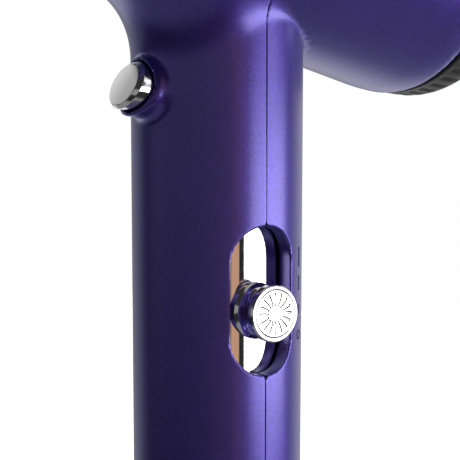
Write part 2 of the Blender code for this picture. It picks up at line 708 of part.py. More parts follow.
def cool_shot():
    """The button, its stem and spring, and the small switch that the stem presses."""
    profile = [
        (0, 5.3 * mm), (2.6 * mm, 5.25 * mm), (4.6 * mm, 5.05 * mm), (BUTTON_R, 4.1 * mm),
        (BUTTON_R, -6.3 * mm), (6.2 * mm, -6.3 * mm), (6.2 * mm, -7.2 * mm), (0, -7.2 * mm),
    ]
    cap = turned("cool_shot_button", profile, steps=32, closed=False)
    for vertex in cap.data.vertices:
        if vertex.co.z > 0:
            vertex.co.z -= FACE_SLANT * vertex.co.x
    place(cap, BUTTON, CHROME)
    place(rod("cool_shot_stem", 1.8 * mm, -14.0 * mm, -7.5 * mm, segments=14), BUTTON, BLACK)
    coil = helix(3.6 * mm, -12.3 * mm, -8.0 * mm, 3, 12)
    place(wire("cool_shot_spring", coil, 0.32 * mm, sides=0), BUTTON, STEEL)
    bracket = place(box("cool_shot_bracket", (12 * mm, 13 * mm, 1.4 * mm), (0, 0, -13.6 * mm)), BUTTON, BLACK)
    hole = place(rod("bracket_hole", 2.2 * mm, -16 * mm, -12 * mm, segments=14), BUTTON)
    boolean(bracket, "DIFFERENCE", hole)
    switch = box("cool_shot_microswitch", (6.4 * mm, 9 * mm, 5 * mm), (0, 0, -19.3 * mm))
    place(switch, BUTTON, BLACK)


# ---------------------------------------------------------------- fasteners, gland, loop and wires


def housing_screws():
    for n, down in enumerate(POST_PLACES, 1):
        screw_part(f"housing_screw_{n}", HANDLE, "X", (0, -down), 10.6 * mm, 2.1 * mm, 2.8 * mm,
                   -9.5 * mm, 1.2 * mm)


def cord_clamp():
    bar = box("cord_clamp", (2.8 * mm, 18 * mm, 5 * mm), (4.8 * mm, 0, -CLAMP_AT))
    bar = place(bar, HANDLE, BLACK)
    for n, side in enumerate((-1, 1), 1):
        across = (side * CLAMP_SCREW_Y, -CLAMP_AT)
        hole = rod(f"clamp_hole_{n}", 1.4 * mm, 2 * mm, 8 * mm, "X", across, 12)
        boolean(bar, "DIFFERENCE", place(hole, HANDLE))
        screw_part(f"cord_clamp_screw_{n}", HANDLE, "X", across, 1.3 * mm, 1.8 * mm, 2.3 * mm,
                   12.5 * mm, 1.0 * mm)


GLAND_HOLE_R = 6.5 * mm
GLAND_BORE_R = 3.7 * mm
GLAND_TIP = 139.5 * mm


def cord_gland():
    """The rubber bush that the mains cord passes through, gripped by the two housings."""
    inner_face = HANDLE_END - WALL - GAP
    outer_face = HANDLE_END + GAP
    profile = [
        (8.0 * mm, -inner_face + 2.0 * mm), (8.0 * mm, -inner_face), (GLAND_HOLE_R - GAP, -inner_face),
        (GLAND_HOLE_R - GAP, -outer_face), (7.4 * mm, -outer_face), (7.4 * mm, -outer_face - 1.2 * mm),
        (5.3 * mm, -GLAND_TIP), (GLAND_BORE_R, -GLAND_TIP), (GLAND_BORE_R, -inner_face + 2.0 * mm),
    ]
    place(turned("cord_gland", profile, steps=32), HANDLE, RUBBER)


LOOP_X = 11.2 * mm
LOOP_T = 3.0 * mm
LOOP_HALF_W = 6.5 * mm
LOOP_TIP = 148.0 * mm


def hanging_loop():
    """A flat eye at the handle's end. Its wider foot stays inside the rear housing."""
    foot_top = 129.2 * mm
    eye_mid = LOOP_TIP - LOOP_HALF_W
    top = HANDLE_END - 4 * mm
    tab = box("hanging_loop", (LOOP_T, 2 * LOOP_HALF_W, eye_mid - top), (LOOP_X, 0, -(eye_mid + top) / 2))
    tab = place(tab, HANDLE, RUBBER)
    end = rod("loop_end", LOOP_HALF_W, LOOP_X - LOOP_T / 2, LOOP_X + LOOP_T / 2, "X", (0, -eye_mid), 32)
    foot = box("loop_foot", (LOOP_T - 0.4 * mm, 16.6 * mm, 2.2 * mm), (LOOP_X, 0, -foot_top - 1.1 * mm))
    boolean(tab, "UNION", place(end, HANDLE), place(foot, HANDLE))
    eye = rod("loop_eye", 3.7 * mm, 5 * mm, 18 * mm, "X", (0, -eye_mid), 24)
    boolean(tab, "DIFFERENCE", place(eye, HANDLE))


def wires():
    """Leads from the board up to the heater and the motor, in the handle frame."""
    routes = {
        "heater_lead_red": (RED, [(6, 7.2, -63.5), (9, 7, -56), (10, 6, -44), (5, 5, -33),
                                  (-4.5, 4.5, -26.5), (-10.2, 4, -22.8), (-11.2, 3.6, -18.6)]),
        "heater_lead_white": (WHITE, [(2, 7.2, -63.5), (6, 5.2, -54), (8, 2.6, -44), (4, 1.6, -33),
                                      (-4.5, 1.2, -27), (-10.4, 0.9, -23.2), (-11.4, 0.6, -19.2)]),
        "motor_lead_blue": (BLUE, [(-3, 7.2, -63.5), (3, 8.6, -52), (6, 9, -42), (2, 8.6, -31),
                                   (-6, 8, -25.5), (-10.7, 7.2, -20), (-9.8, 5.2, -13.2)]),
    }
    for name, (material, knots) in routes.items():
        route = smooth_route([[c * mm for c in knot] for knot in knots], per_span=4)
        place(wire(name, route, 0.85 * mm), HANDLE, material)


# ---------------------------------------------------------------- assembly

clear_scene()
PARTS = new_collection("travel_hair_dryer")
CUTTERS = new_collection("cutters")

PURPLE = new_material("satin_purple", (0.052, 0.024, 0.235), 0.34, 0.6)
CHROME = new_material("chrome", (0.86, 0.86, 0.87), 0.06, 1.0)
BLACK = new_material("black_plastic", (0.012, 0.012, 0.014), 0.45)
IVORY = new_material("ivory_plastic", (0.62, 0.58, 0.48), 0.5)
RUBBER = new_material("black_rubber", (0.015, 0.015, 0.016), 0.7)
STEEL = new_material("steel", (0.55, 0.55, 0.56), 0.35, 1.0)
BRASS = new_material("brass", (0.72, 0.5, 0.2), 0.35, 1.0)
NICHROME = new_material("nichrome", (0.38, 0.33, 0.3), 0.4, 1.0)
MICA = new_material("mica", (0.5, 0.42, 0.3), 0.6)
BOARD = new_material("circuit_board", (0.03, 0.16, 0.06), 0.5)
RED = new_material("red_insulation", (0.5, 0.02, 0.02), 0.45)
WHITE = new_material("white_insulation", (0.8, 0.8, 0.78), 0.45)
BLUE = new_material("blue_insulation", (0.02, 0.08, 0.45), 0.45)

AXES = new_frame("axes", (AXIS_X, 0, AXIS_Z), 0)
BARREL = new_frame("barrel_frame", (0, 0, 0), math.pi / 2, AXES)
HANDLE = new_frame("handle_frame", (0, 0, 0), -CANT, AXES)
BUTTON = new_frame("button_frame", (-HANDLE_Q, 0, -BUTTON_AT), BUTTON_TILT - math.pi / 2, HANDLE)
KNOB = new_frame("knob_frame", (0, 0, -KNOB_AT), 0, HANDLE)
KNOB.rotation_euler = (math.pi / 2, 0, 0)

OUTER_HANDLE = place(handle_solid("handle_outside", 0), HANDLE)
INNER_HANDLE = place(handle_solid("handle_inside", WALL), HANDLE)
INNER_BARREL = place(barrel_solid("barrel_inside", WALL, SPIGOT_TIP - 5 * mm, HOUSING_REAR + 5 * mm), BARREL)
WELL = switch_well()
SLOT_CUT = place(
    stadium("slot_cut", SLOT_HALF_W, SLOT_HALF_L, -25 * mm, -8 * mm), HANDLE, location=(0, 0, -SLOT_AT)
)
GLAND_CUT = place(rod("gland_cut", GLAND_HOLE_R, -140 * mm, -128 * mm, segments=32), HANDLE)
LOOP_CUT = place(
    box("loop_cut", (LOOP_T + 2 * GAP, 2 * (LOOP_HALF_W + GAP), 8 * mm), (LOOP_X, 0, -HANDLE_END)), HANDLE
)

front_housing()
rear_housing()
concentrator_nozzle()
outlet_grille()
intake_cover()
intake_filter()
fan_duct()
motor()
fan_rotor()
heater()
thumb_switch()
electronics()
cool_shot()
housing_screws()
cord_clamp()
cord_gland()
hanging_loop()
wires()
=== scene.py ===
"""The looks of the travel hair dryer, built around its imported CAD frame."""

import json
import math

import bmesh
import bpy
import numpy as np
from mathutils import Matrix, Vector


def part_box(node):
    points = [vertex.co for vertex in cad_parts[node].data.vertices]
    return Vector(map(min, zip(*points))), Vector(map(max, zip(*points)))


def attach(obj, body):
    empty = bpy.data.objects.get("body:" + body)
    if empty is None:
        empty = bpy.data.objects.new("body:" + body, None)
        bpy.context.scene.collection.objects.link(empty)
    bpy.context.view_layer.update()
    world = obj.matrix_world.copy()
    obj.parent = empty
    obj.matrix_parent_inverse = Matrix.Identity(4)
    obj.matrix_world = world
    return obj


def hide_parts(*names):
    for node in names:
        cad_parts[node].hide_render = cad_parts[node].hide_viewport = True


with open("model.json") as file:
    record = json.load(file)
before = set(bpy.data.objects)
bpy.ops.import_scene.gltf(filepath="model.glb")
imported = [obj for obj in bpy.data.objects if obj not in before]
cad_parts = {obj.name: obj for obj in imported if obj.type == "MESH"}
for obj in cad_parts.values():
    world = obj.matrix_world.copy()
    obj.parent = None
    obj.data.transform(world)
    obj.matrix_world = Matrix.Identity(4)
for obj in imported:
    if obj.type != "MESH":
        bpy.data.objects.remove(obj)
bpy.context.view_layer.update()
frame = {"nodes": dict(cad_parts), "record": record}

mm = 0.001

# ---------------------------------------------------------------- where things are, read from the frame

JOINTS = {joint["name"]: joint for joint in frame["record"]["behaviour"]["joints"]}


def middle(node):
    low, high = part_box(node)
    return (Vector(low) + Vector(high)) / 2


UP = Vector(JOINTS["switch_slide"]["axis"])  # up the handle, which leans from the barrel's square
CANT = math.asin(-UP.x)
AXIS_Z = JOINTS["fan_spin"]["pos_m"][2]
SWITCH_MIDDLE = middle("slide_switch_body")
SLOT_AT = (AXIS_Z - SWITCH_MIDDLE.z) / UP.z / mm  # down the handle's axis, in mm
AXIS_X = SWITCH_MIDDLE.x + SLOT_AT * mm * UP.x
KNOB_AT = (AXIS_Z - middle("switch_actuator").z) / UP.z / mm


def frame_matrix(origin, x_axis, z_axis):
    x, z = Vector(x_axis).normalized(), Vector(z_axis).normalized()
    rows = Matrix((x, z.cross(x), z)).transposed().to_4x4()
    return Matrix.Translation(origin) @ rows @ Matrix.Scale(mm, 4)


# Each frame takes millimetres to the world. In the barrel's, Z runs to the rear; in the handle's, Z runs up.
ORIGIN = Vector((AXIS_X, 0, AXIS_Z))
BARREL = frame_matrix(ORIGIN, (0, 0, -1), (1, 0, 0))
HANDLE = frame_matrix(ORIGIN, (UP.z, 0, -UP.x), UP)
BUTTON_OUT = -Vector(JOINTS["cool_shot_press"]["axis"])
SWITCH_BEHIND_BUTTON = 19.3 * mm
BUTTON_ORIGIN = middle("cool_shot_microswitch") + BUTTON_OUT * SWITCH_BEHIND_BUTTON
BUTTON = frame_matrix(BUTTON_ORIGIN, (BUTTON_OUT.z, 0, -BUTTON_OUT.x), BUTTON_OUT)
BUTTON_IN_HANDLE = np.array(HANDLE.inverted() @ BUTTON)
KNOB = HANDLE @ Matrix.Translation((0, 0, -KNOB_AT)) @ Matrix.Rotation(math.pi / 2, 4, "X")

# The housings' own sizes, in mm, as in the CAD. Only the collar is a little smaller here, because
# its fillet ends about where the CAD's plain wall does.
WALL = 2.2
TUBE_R, CONE_ANGLE = 23.0, math.radians(8.6)
CONE_START, CONE_END = -25.5, 46.0
FLARE_BLEND_R, REAR_BLEND_R = 80.0, 51.0
HOUSING_REAR = 53.0
SPIGOT_STEP, SPIGOT_TIP = -60.0, -70.0
SPIGOT_R, SPIGOT_BORE_R = 21.2, 19.2
HANDLE_P, HANDLE_Q = 18.0, 18.8
HANDLE_TAPER, TAPER_FROM = 0.0045, 40.0
HANDLE_END, END_ROUND = 134.0, 4.0
SLOT_HALF_W, SLOT_HALF_L, WELL_WALL = 7.9, 15.75, 1.6
PLATE_R, PLATE_T = 13.8, 0.8
KNOB_R, KNOB_FACE = 6.05, 21.0
BUTTON_R, BUTTON_GAP = 5.3, 0.35
BOSS_HALF_UP, BOSS_HALF_ACROSS, BOSS_DOWN, BOSS_BACK = 6.3, 7.0, 0.1, -6.0
RIM_HEIGHT, RIM_FALL, RIM_SLANT = 3.0, 0.044, 0.08  # the rim falls to its sides, and leans back
RIM_ROUND, COLLAR_FILLET = 0.6, 1.6
FILLET_FRONT, FILLET_REAR = 12.6, 1.1
BUTTON_BORE_BACK = -9.0
FACE_SLANT = 0.3
WELL_FLOOR, SLOT_FLOOR = 9.0, 8.0  # how far from the handle's axis the well and the slot through it end
SEAM_GAP, SEAM_EDGE, NOTCH_GAP, NOTCH_REACH, NOTCH_FRONT = 0.012, 0.04, 0.5, 1.3, -14
POST_PLACES = (60.0, 111.0)
POST_R, POST_END = 4.4, 17.4
SINK_R, SINK_FLOOR, SCREW_HOLE_R = 3.2, 8.2, 1.6
LOOP_X, LOOP_T, LOOP_HALF_W, LOOP_TIP = 11.2, 3.0, 6.5, 148.0
LOOP_EYE_R, LOOP_CUT_TOP = 3.7, 130.5
GLAND_HOLE_R, GLAND_HOLE_TOP = 6.5, 125.0
CLEARANCE = 0.3

# ---------------------------------------------------------------- materials


def colour_ramp(tree, value, stops):
    """Adds a colour ramp. Each stop is a place and a grey value or a colour."""
    node = tree.nodes.new("ShaderNodeValToRGB")
    elements = node.color_ramp.elements
    while len(elements) < len(stops):
        elements.new(0.5)
    for element, (place, colour) in zip(elements, stops):
        element.position = place
        element.color = (*colour, 1) if isinstance(colour, tuple) else (colour, colour, colour, 1)
    tree.links.new(value, node.inputs["Fac"])
    return node.outputs["Color"]


def colour_mix(tree, factor, a, b, blend="MIX"):
    """Adds a mix of two colours, each of them a socket or a plain colour."""
    node = tree.nodes.new("ShaderNodeMix")
    node.data_type = "RGBA"
    node.blend_type = blend
    for socket, value in (("Factor", factor), ("A", a), ("B", b)):
        kind = "NodeSocketFloatFactor" if socket == "Factor" else "NodeSocketColor"
        into = next(i for i in node.inputs if i.name == socket and i.bl_idname == kind)
        if isinstance(value, bpy.types.NodeSocket):
            tree.links.new(value, into)
        else:
            into.default_value = (*value, 1) if isinstance(value, tuple) else value
    return next(o for o in node.outputs if o.bl_idname == "NodeSocketColor")


class Nodes:
    """A short way to write a material's node tree."""

    def __init__(self, name, colour, roughness, metallic=0.0):
        self.material = bpy.data.materials.new(name)
        self.material.use_nodes = True
        self.material.diffuse_color = (*colour, 1)
        self.tree = self.material.node_tree
        self.shader = self.tree.nodes["Principled BSDF"]
        self.set(self.shader, "Base Color", (*colour, 1))
        self.set(self.shader, "Roughness", roughness)
        self.set(self.shader, "Metallic", metallic)
        self.place = self.tree.nodes.new("ShaderNodeTexCoord").outputs["Object"]

    def set(self, node, socket, value):
        node.inputs[socket].default_value = value

    def link(self, output, node, socket):
        self.tree.links.new(output, node.inputs[socket])

    def stretched(self, scale):
        node = self.tree.nodes.new("ShaderNodeMapping")
        self.set(node, "Scale", scale)
        self.link(self.place, node, "Vector")
        return node.outputs["Vector"]

    def noise(self, scale, detail=2.0, rough=0.5, where=None):
        node = self.tree.nodes.new("ShaderNodeTexNoise")
        self.set(node, "Scale", scale)
        self.set(node, "Detail", detail)
        self.set(node, "Roughness", rough)
        self.link(where or self.place, node, "Vector")
        return node.outputs["Fac"]

    def cells(self, scale, output="Color"):
        node = self.tree.nodes.new("ShaderNodeTexVoronoi")
        self.set(node, "Scale", scale)
        self.link(self.place, node, "Vector")
        return node.outputs[output]

    def ramp(self, value, *stops):
        return colour_ramp(self.tree, value, stops)

    def mix(self, factor, a, b, blend="MIX"):
        return colour_mix(self.tree, factor, a, b, blend)

    def bump(self, height, strength, distance):
        node = self.tree.nodes.new("ShaderNodeBump")
        self.set(node, "Strength", strength)
        self.set(node, "Distance", distance)
        self.link(height, node, "Height")
        self.link(node.outputs["Normal"], self.shader, "Normal")

    def colour_from(self, output):
        self.link(output, self.shader, "Base Color")

    def roughness_from(self, output):
        self.link(output, self.shader, "Roughness")


def satin_purple():
    """Metallic paint: fine flakes of uneven brightness under a satin lacquer."""
    n = Nodes("satin_purple_paint", (0.087, 0.047, 0.43), 0.4, 0.85)
    flakes = n.ramp(n.cells(3600), (0.15, 0.82), (0.85, 1.2))
    cloud = n.ramp(n.noise(140, 3), (0.3, 0.94), (0.7, 1.05))
    colour = n.mix(1.0, (0.088, 0.048, 0.43), flakes, "MULTIPLY")
    n.colour_from(n.mix(1.0, colour, cloud, "MULTIPLY"))
    n.roughness_from(n.ramp(n.noise(2600, 2), (0.3, 0.36), (0.7, 0.46)))
    n.bump(n.noise(3000, 2), 0.12, 0.00003)
    n.set(n.shader, "Coat Weight", 1.0)
    n.set(n.shader, "Coat Roughness", 0.27)
    n.set(n.shader, "Coat IOR", 1.6)
    return n.material


def chrome():
    n = Nodes("chrome_plate", (0.88, 0.88, 0.89), 0.045, 1.0)
    wear = n.noise(900, 4, 0.6)
    n.roughness_from(n.ramp(wear, (0.35, 0.03), (0.75, 0.09)))
    n.bump(n.noise(250, 3), 0.05, 0.00002)
    return n.material


def black_plastic():
    n = Nodes("black_plastic", (0.013, 0.013, 0.015), 0.42)
    grain = n.noise(1900, 3)
    n.colour_from(n.ramp(n.noise(90, 3), (0.35, (0.011, 0.011, 0.013)), (0.7, (0.018, 0.018, 0.02))))
    n.roughness_from(n.ramp(grain, (0.3, 0.36), (0.75, 0.5)))
    n.bump(grain, 0.25, 0.00005)
    return n.material


def gloss_black_plastic():
    n = Nodes("gloss_black_plastic", (0.009, 0.009, 0.011), 0.16)
    n.colour_from(n.ramp(n.noise(70, 3), (0.35, (0.007, 0.007, 0.009)), (0.7, (0.013, 0.013, 0.015))))
    n.roughness_from(n.ramp(n.noise(1100, 4), (0.3, 0.12), (0.8, 0.24)))
    n.bump(n.noise(160, 2), 0.04, 0.00003)
    n.set(n.shader, "Coat Weight", 0.3)
    n.set(n.shader, "Coat Roughness", 0.08)
    return n.material


def moulded(name, low, high, roughness=0.5, grain=1500):
    """A plain moulded plastic, whose colour drifts a little from low to high."""
    n = Nodes(name, high, roughness)
    n.colour_from(n.ramp(n.noise(220, 4), (0.3, low), (0.7, high)))
    n.roughness_from(n.ramp(n.noise(grain, 3), (0.3, roughness - 0.06), (0.7, roughness + 0.08)))
    n.bump(n.noise(grain, 3), 0.2, 0.00004)
    return n.material


def brushed(name, low, high, stretch=(1, 1, 30), roughness=0.3):
    """A drawn or turned metal, with fine lines along one axis."""
    n = Nodes(name, high, roughness, 1.0)
    lines = n.noise(900, 3, 0.6, n.stretched(stretch))
    n.colour_from(n.ramp(lines, (0.3, low), (0.7, high)))
    n.roughness_from(n.ramp(lines, (0.3, roughness - 0.08), (0.7, roughness + 0.1)))
    n.bump(lines, 0.15, 0.00003)
    return n.material


def mica():
    n = Nodes("mica_board", (0.45, 0.36, 0.23), 0.45)
    specks = n.ramp(n.cells(1700), (0.2, (0.30, 0.23, 0.14)), (0.8, (0.62, 0.52, 0.36)))
    n.colour_from(n.mix(n.noise(400, 4), (0.42, 0.34, 0.22), specks))
    n.roughness_from(n.ramp(n.noise(1400, 3), (0.3, 0.3), (0.7, 0.6)))
    n.bump(n.cells(1500, "Distance"), 0.3, 0.00006)
    return n.material


def circuit_board():
    n = Nodes("circuit_board", (0.02, 0.14, 0.06), 0.4)
    tracks = n.ramp(n.cells(420, "Distance"), (0.42, (0.012, 0.10, 0.04)), (0.5, (0.05, 0.24, 0.10)))
    n.colour_from(tracks)
    n.roughness_from(n.ramp(n.noise(900, 2), (0.3, 0.3), (0.7, 0.5)))
    n.bump(n.cells(420, "Distance"), 0.2, 0.00004)
    return n.material


def rubber():
    n = Nodes("black_rubber", (0.016, 0.016, 0.017), 0.62)
    grain = n.noise(2400, 4, 0.65)
    n.colour_from(n.ramp(n.noise(300, 4), (0.3, (0.012, 0.012, 0.013)), (0.7, (0.026, 0.026, 0.027))))
    n.roughness_from(n.ramp(grain, (0.3, 0.54), (0.7, 0.74)))
    n.bump(grain, 0.35, 0.00005)
    return n.material


def mark_print():
    n = Nodes("printed_mark", (0.07, 0.055, 0.2), 0.5)
    n.colour_from(n.ramp(n.noise(2200, 3), (0.3, (0.055, 0.042, 0.16)), (0.7, (0.085, 0.066, 0.24))))
    n.roughness_from(n.ramp(n.noise(1500, 2), (0.3, 0.42), (0.7, 0.58)))
    return n.material


MATERIALS = {
    "satin_purple": satin_purple(),
    "chrome": chrome(),
    "black_plastic": black_plastic(),
    "ivory_plastic": moulded("ivory_plastic", (0.55, 0.50, 0.40), (0.66, 0.62, 0.52)),
    "black_rubber": rubber(),
    "steel": brushed("brushed_steel", (0.42, 0.42, 0.43), (0.62, 0.62, 0.63)),
    "brass": brushed("brass", (0.60, 0.40, 0.15), (0.78, 0.56, 0.26), (1, 1, 8), 0.34),
    "nichrome": brushed("nichrome_wire", (0.22, 0.18, 0.17), (0.46, 0.40, 0.36), (3, 3, 3), 0.42),
    "mica": mica(),
    "circuit_board": circuit_board(),
    "red_insulation": moulded("red_insulation", (0.42, 0.015, 0.015), (0.56, 0.03, 0.025), 0.45),
    "white_insulation": moulded("white_insulation", (0.70, 0.70, 0.67), (0.82, 0.82, 0.80), 0.45),
    "blue_insulation": moulded("blue_insulation", (0.015, 0.06, 0.36), (0.03, 0.10, 0.50), 0.45),
}
GLOSS_BLACK = gloss_black_plastic()
MARK = mark_print()

# ---------------------------------------------------------------- making meshes


def add_piece(obj, slot, body, replaced=(), material=None):
    """Links a piece, gives it its finish, puts it under what it moves with, and hides the CAD parts it
    stands for.
    """
    if obj.name not in bpy.context.scene.collection.objects:
        bpy.context.scene.collection.objects.link(obj)
    obj.data.materials.clear()
    obj.data.materials.append(material or MATERIALS[slot])
    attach(obj, body)
    if replaced:
        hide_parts(*replaced)
    return obj


def object_from(name, points, faces, matrix, sharp=35):
    """A smooth-shaded object from points in a frame's millimetres, and its faces."""
    mesh = bpy.data.meshes.new(name)
    world = np.asarray(points, float) @ np.array(matrix)[:3, :3].T + np.array(matrix)[:3, 3]
    mesh.from_pydata(world.tolist(), [], [list(face) for face in faces])
    bm = bmesh.new()
    bm.from_mesh(mesh)
    bmesh.ops.remove_doubles(bm, verts=bm.verts, dist=1e-7)
    bmesh.ops.recalc_face_normals(bm, faces=bm.faces)
    if bm.calc_volume(signed=True) < 0:
        bmesh.ops.reverse_faces(bm, faces=bm.faces)
    bm.to_mesh(mesh)
    bm.free()
    mesh.shade_smooth()
    mesh.set_sharp_from_angle(angle=math.radians(sharp))
    return bpy.data.objects.new(name, mesh)


def soften(points, radius, steps=4):
    """Rounds the corners of a profile, but not its two ends."""
    out = [tuple(points[0])]
    for before, here, after in zip(points, points[1:], points[2:]):
        a, b, c = (np.array(p, float) for p in (before, here, after))
        reach = min(radius, np.linalg.norm(a - b) / 2.01, np.linalg.norm(c - b) / 2.01)
        start = b + (a - b) / np.linalg.norm(a - b) * reach
        end = b + (c - b) / np.linalg.norm(c - b) * reach
        for i in range(steps + 1):
            t = i / steps
            out.append(tuple((1 - t) ** 2 * start + 2 * t * (1 - t) * b + t**2 * end))
    out.append(tuple(points[-1]))
    return out


def lathe(name, profile, matrix, steps=96, closed=False, sharp=50, slant=0.0):
    """A (radius, height) profile turned about its frame's Z, from axis to axis or closed.

    slant tips what is above height 0.
    """
    count = len(profile)
    angles = np.arange(steps) * 2 * math.pi / steps
    radius = np.array([p[0] for p in profile])
    height = np.array([p[1] for p in profile])
    points = np.stack([
        np.outer(np.cos(angles), radius), np.outer(np.sin(angles), radius), np.tile(height, (steps, 1))
    ], -1).reshape(-1, 3)
    points[:, 2] -= slant * points[:, 0] * (points[:, 2] > 0)
    faces = []
    for i in range(steps):
        j = (i + 1) % steps
        for k in range(count if closed else count - 1):
            m = (k + 1) % count
            face = [i * count + k, j * count + k, j * count + m, i * count + m]
            if radius[k] == 0:
                face.pop(0)
            elif radius[m] == 0:
                face.pop(2)
            faces.append(face)
    return object_from(name, points, faces, matrix, sharp)


def loft(name, rings, matrix, sharp=35, tube=False):
    """Faces between rings of equal counts. A tube's last ring joins its first, else both ends are capped."""
    points = np.concatenate([np.asarray(ring, float) for ring in rings])
    n = len(rings[0])
    faces = []
    for a in range(len(rings) if tube else len(rings) - 1):
        b = (a + 1) % len(rings)
        for i in range(n):
            j = (i + 1) % n
            faces.append((a * n + i, a * n + j, b * n + j, b * n + i))
    if not tube:
        faces.append(tuple(range(n)))
        faces.append(tuple(range(len(points) - n, len(points))))
    return object_from(name, points, faces, matrix, sharp)


def spaced(*stops):
    """Grid places from (start, step) pairs and a last end, so that fine detail gets a fine grid."""
    places = []
    for (start, step), after in zip(stops, stops[1:]):
        end = after[0] if isinstance(after, tuple) else after
        places.append(np.linspace(start, end, max(2, round((end - start) / step) + 1))[:-1])
    places.append(np.array([stops[-1]]))
    return np.concatenate(places)


def surface_net(name, field, axes, matrix, sharp=50):
    """The closed surface where field is zero, with one point for each grid cell that it crosses."""
    shape = [len(a) for a in axes]
    value = np.broadcast_to(field(*np.meshgrid(*axes, indexing="ij", sparse=True)), shape)
    inside = value < 0
    cells = [n - 1 for n in shape]
    total = np.zeros((*cells, 3))
    count = np.zeros(cells)
    crossings = []
    for axis in range(3):
        low = [slice(None)] * 3
        high = [slice(None)] * 3
        low[axis], high[axis] = slice(None, -1), slice(1, None)
        low, high = tuple(low), tuple(high)
        at = np.argwhere(inside[low] != inside[high])
        a, b = value[low][tuple(at.T)], value[high][tuple(at.T)]
        point = np.stack([axes[i][at[:, i]] for i in range(3)], -1)
        point[:, axis] += a / (a - b) * (axes[axis][at[:, axis] + 1] - axes[axis][at[:, axis]])
        near = []
        u, v = (axis + 1) % 3, (axis + 2) % 3
        for du, dv in ((-1, -1), (0, -1), (0, 0), (-1, 0)):
            cell = at.copy()
            cell[:, u] += du
            cell[:, v] += dv
            near.append(cell)
        keep = np.all([(c >= 0).all(1) & (c < cells).all(1) for c in near], axis=0)
        for cell in near:
            where = tuple(cell[keep].T)
            np.add.at(total, where, point[keep])
            np.add.at(count, where, 1)
        crossings.append(([cell[keep] for cell in near], a[keep] < 0))
    used = count > 0
    number = np.full(cells, -1)
    number[used] = np.arange(used.sum())
    points = total[used] / count[used][:, None]
    cell_size = np.stack(np.meshgrid(*[np.diff(a) for a in axes], indexing="ij"), -1)[used]
    # move each point onto the surface, but not far out of its own cell
    start, eps = points.copy(), 0.01
    for _ in range(4):
        x, y, z = points.T
        here = field(x, y, z)
        slope = np.stack([
            field(x + eps, y, z) - field(x - eps, y, z),
            field(x, y + eps, z) - field(x, y - eps, z),
            field(x, y, z + eps) - field(x, y, z - eps),
        ], -1) / (2 * eps)
        step = here[:, None] * slope / np.maximum((slope**2).sum(1), 0.05)[:, None]
        points = np.clip(points - step, start - 0.7 * cell_size, start + 0.7 * cell_size)
    faces = []
    for near, outward in crossings:
        quad = np.stack([number[tuple(cell.T)] for cell in near], -1)
        quad[~outward] = quad[~outward][:, ::-1]
        faces.append(quad)
    faces = np.concatenate(faces)
    mesh = bpy.data.meshes.new(name)
    world = points @ np.array(matrix)[:3, :3].T + np.array(matrix)[:3, 3]
    mesh.vertices.add(len(world))
    mesh.vertices.foreach_set("co", world.astype(np.float32).ravel())
    mesh.loops.add(faces.size)
    mesh.loops.foreach_set("vertex_index", faces.ravel().astype(np.int32))
    mesh.polygons.add(len(faces))
    mesh.polygons.foreach_set("loop_start", np.arange(0, faces.size, 4, dtype=np.int32))
    mesh.update(calc_edges=True)
    mesh.validate()
    mesh.shade_smooth()
    mesh.set_sharp_from_angle(angle=math.radians(sharp))
    return bpy.data.objects.new(name, mesh)


# ---------------------------------------------------------------- distance fields, in mm, negative inside


def both(a, b, radius):
    """The overlap of two solids, its edge rounded."""
    outside = np.hypot(np.maximum(a + radius, 0), np.maximum(b + radius, 0))
    return np.minimum(np.maximum(a, b), -radius) + outside


def joined(a, b, radius):
    """Two solids joined, with a fillet between them."""
    return -both(-a, -b, radius)


def eased(a, b, radius):
    """Two solids joined, with a fillet that starts so gently that no line shows where it begins."""
    power = 2.5  # 2 would be a round fillet
    outside = (np.maximum(radius - a, 0) ** power + np.maximum(radius - b, 0) ** power) ** (1 / power)
    return np.maximum(np.minimum(a, b), radius) - outside


def smooth_step(low, high, value):
    t = np.clip((value - low) / (high - low), 0, 1)
    return t * t * (3 - 2 * t)


def stadium(across, along, half_width, half_length):
    """A slot with round ends."""
    return np.hypot(across, np.maximum(np.abs(along) - (half_length - half_width), 0)) - half_width


def barrel_radius(b):
    """The barrel's outer radius: a tube, a long cone to the rear, and a blend into each."""
    cone_low = TUBE_R + FLARE_BLEND_R * (1 - math.cos(CONE_ANGLE))
    blend_start = CONE_START - FLARE_BLEND_R * math.sin(CONE_ANGLE)
    flare = TUBE_R + FLARE_BLEND_R - np.sqrt(FLARE_BLEND_R**2 - np.clip(b - blend_start, 0, 40) ** 2)
    cone = cone_low + (b - CONE_START) * math.tan(CONE_ANGLE)
    cone_high = cone_low + (CONE_END - CONE_START) * math.tan(CONE_ANGLE)
    crown = CONE_END + REAR_BLEND_R * math.sin(CONE_ANGLE)
    rear = cone_high - REAR_BLEND_R * math.cos(CONE_ANGLE) + np.sqrt(
        REAR_BLEND_R**2 - np.clip(b - crown, -30, 30) ** 2
    )
    return np.where(b < CONE_START, flare, np.where(b < CONE_END, cone, rear))


def handle_field(x, y, z, inset=0.0):
    """The handle: an ellipse that narrows to a rounded end."""
    loss = HANDLE_TAPER * np.maximum(0, -z - TAPER_FROM) + inset
    reach = np.maximum(np.hypot(x / (HANDLE_Q - loss), y / (HANDLE_P - loss)), 1e-3)
    side = np.hypot(x, y) * (1 - 1 / reach)
    side = both(side, -z - (HANDLE_END - inset), max(0.4, END_ROUND - inset))
    return np.maximum(side, z + 8)


def barrel_field(b, r):
    """The barrel, b along its axis and r from it, with the nozzle's spigot in front."""
    tube = both((r - barrel_radius(b)) * math.cos(CONE_ANGLE / 2), SPIGOT_STEP - b, 1.0)
    tube = both(tube, b - HOUSING_REAR, 1.0)
    spigot = both(r - SPIGOT_R, SPIGOT_TIP - b, 0.4)
    return np.minimum(tube, np.maximum(spigot, b + 50))


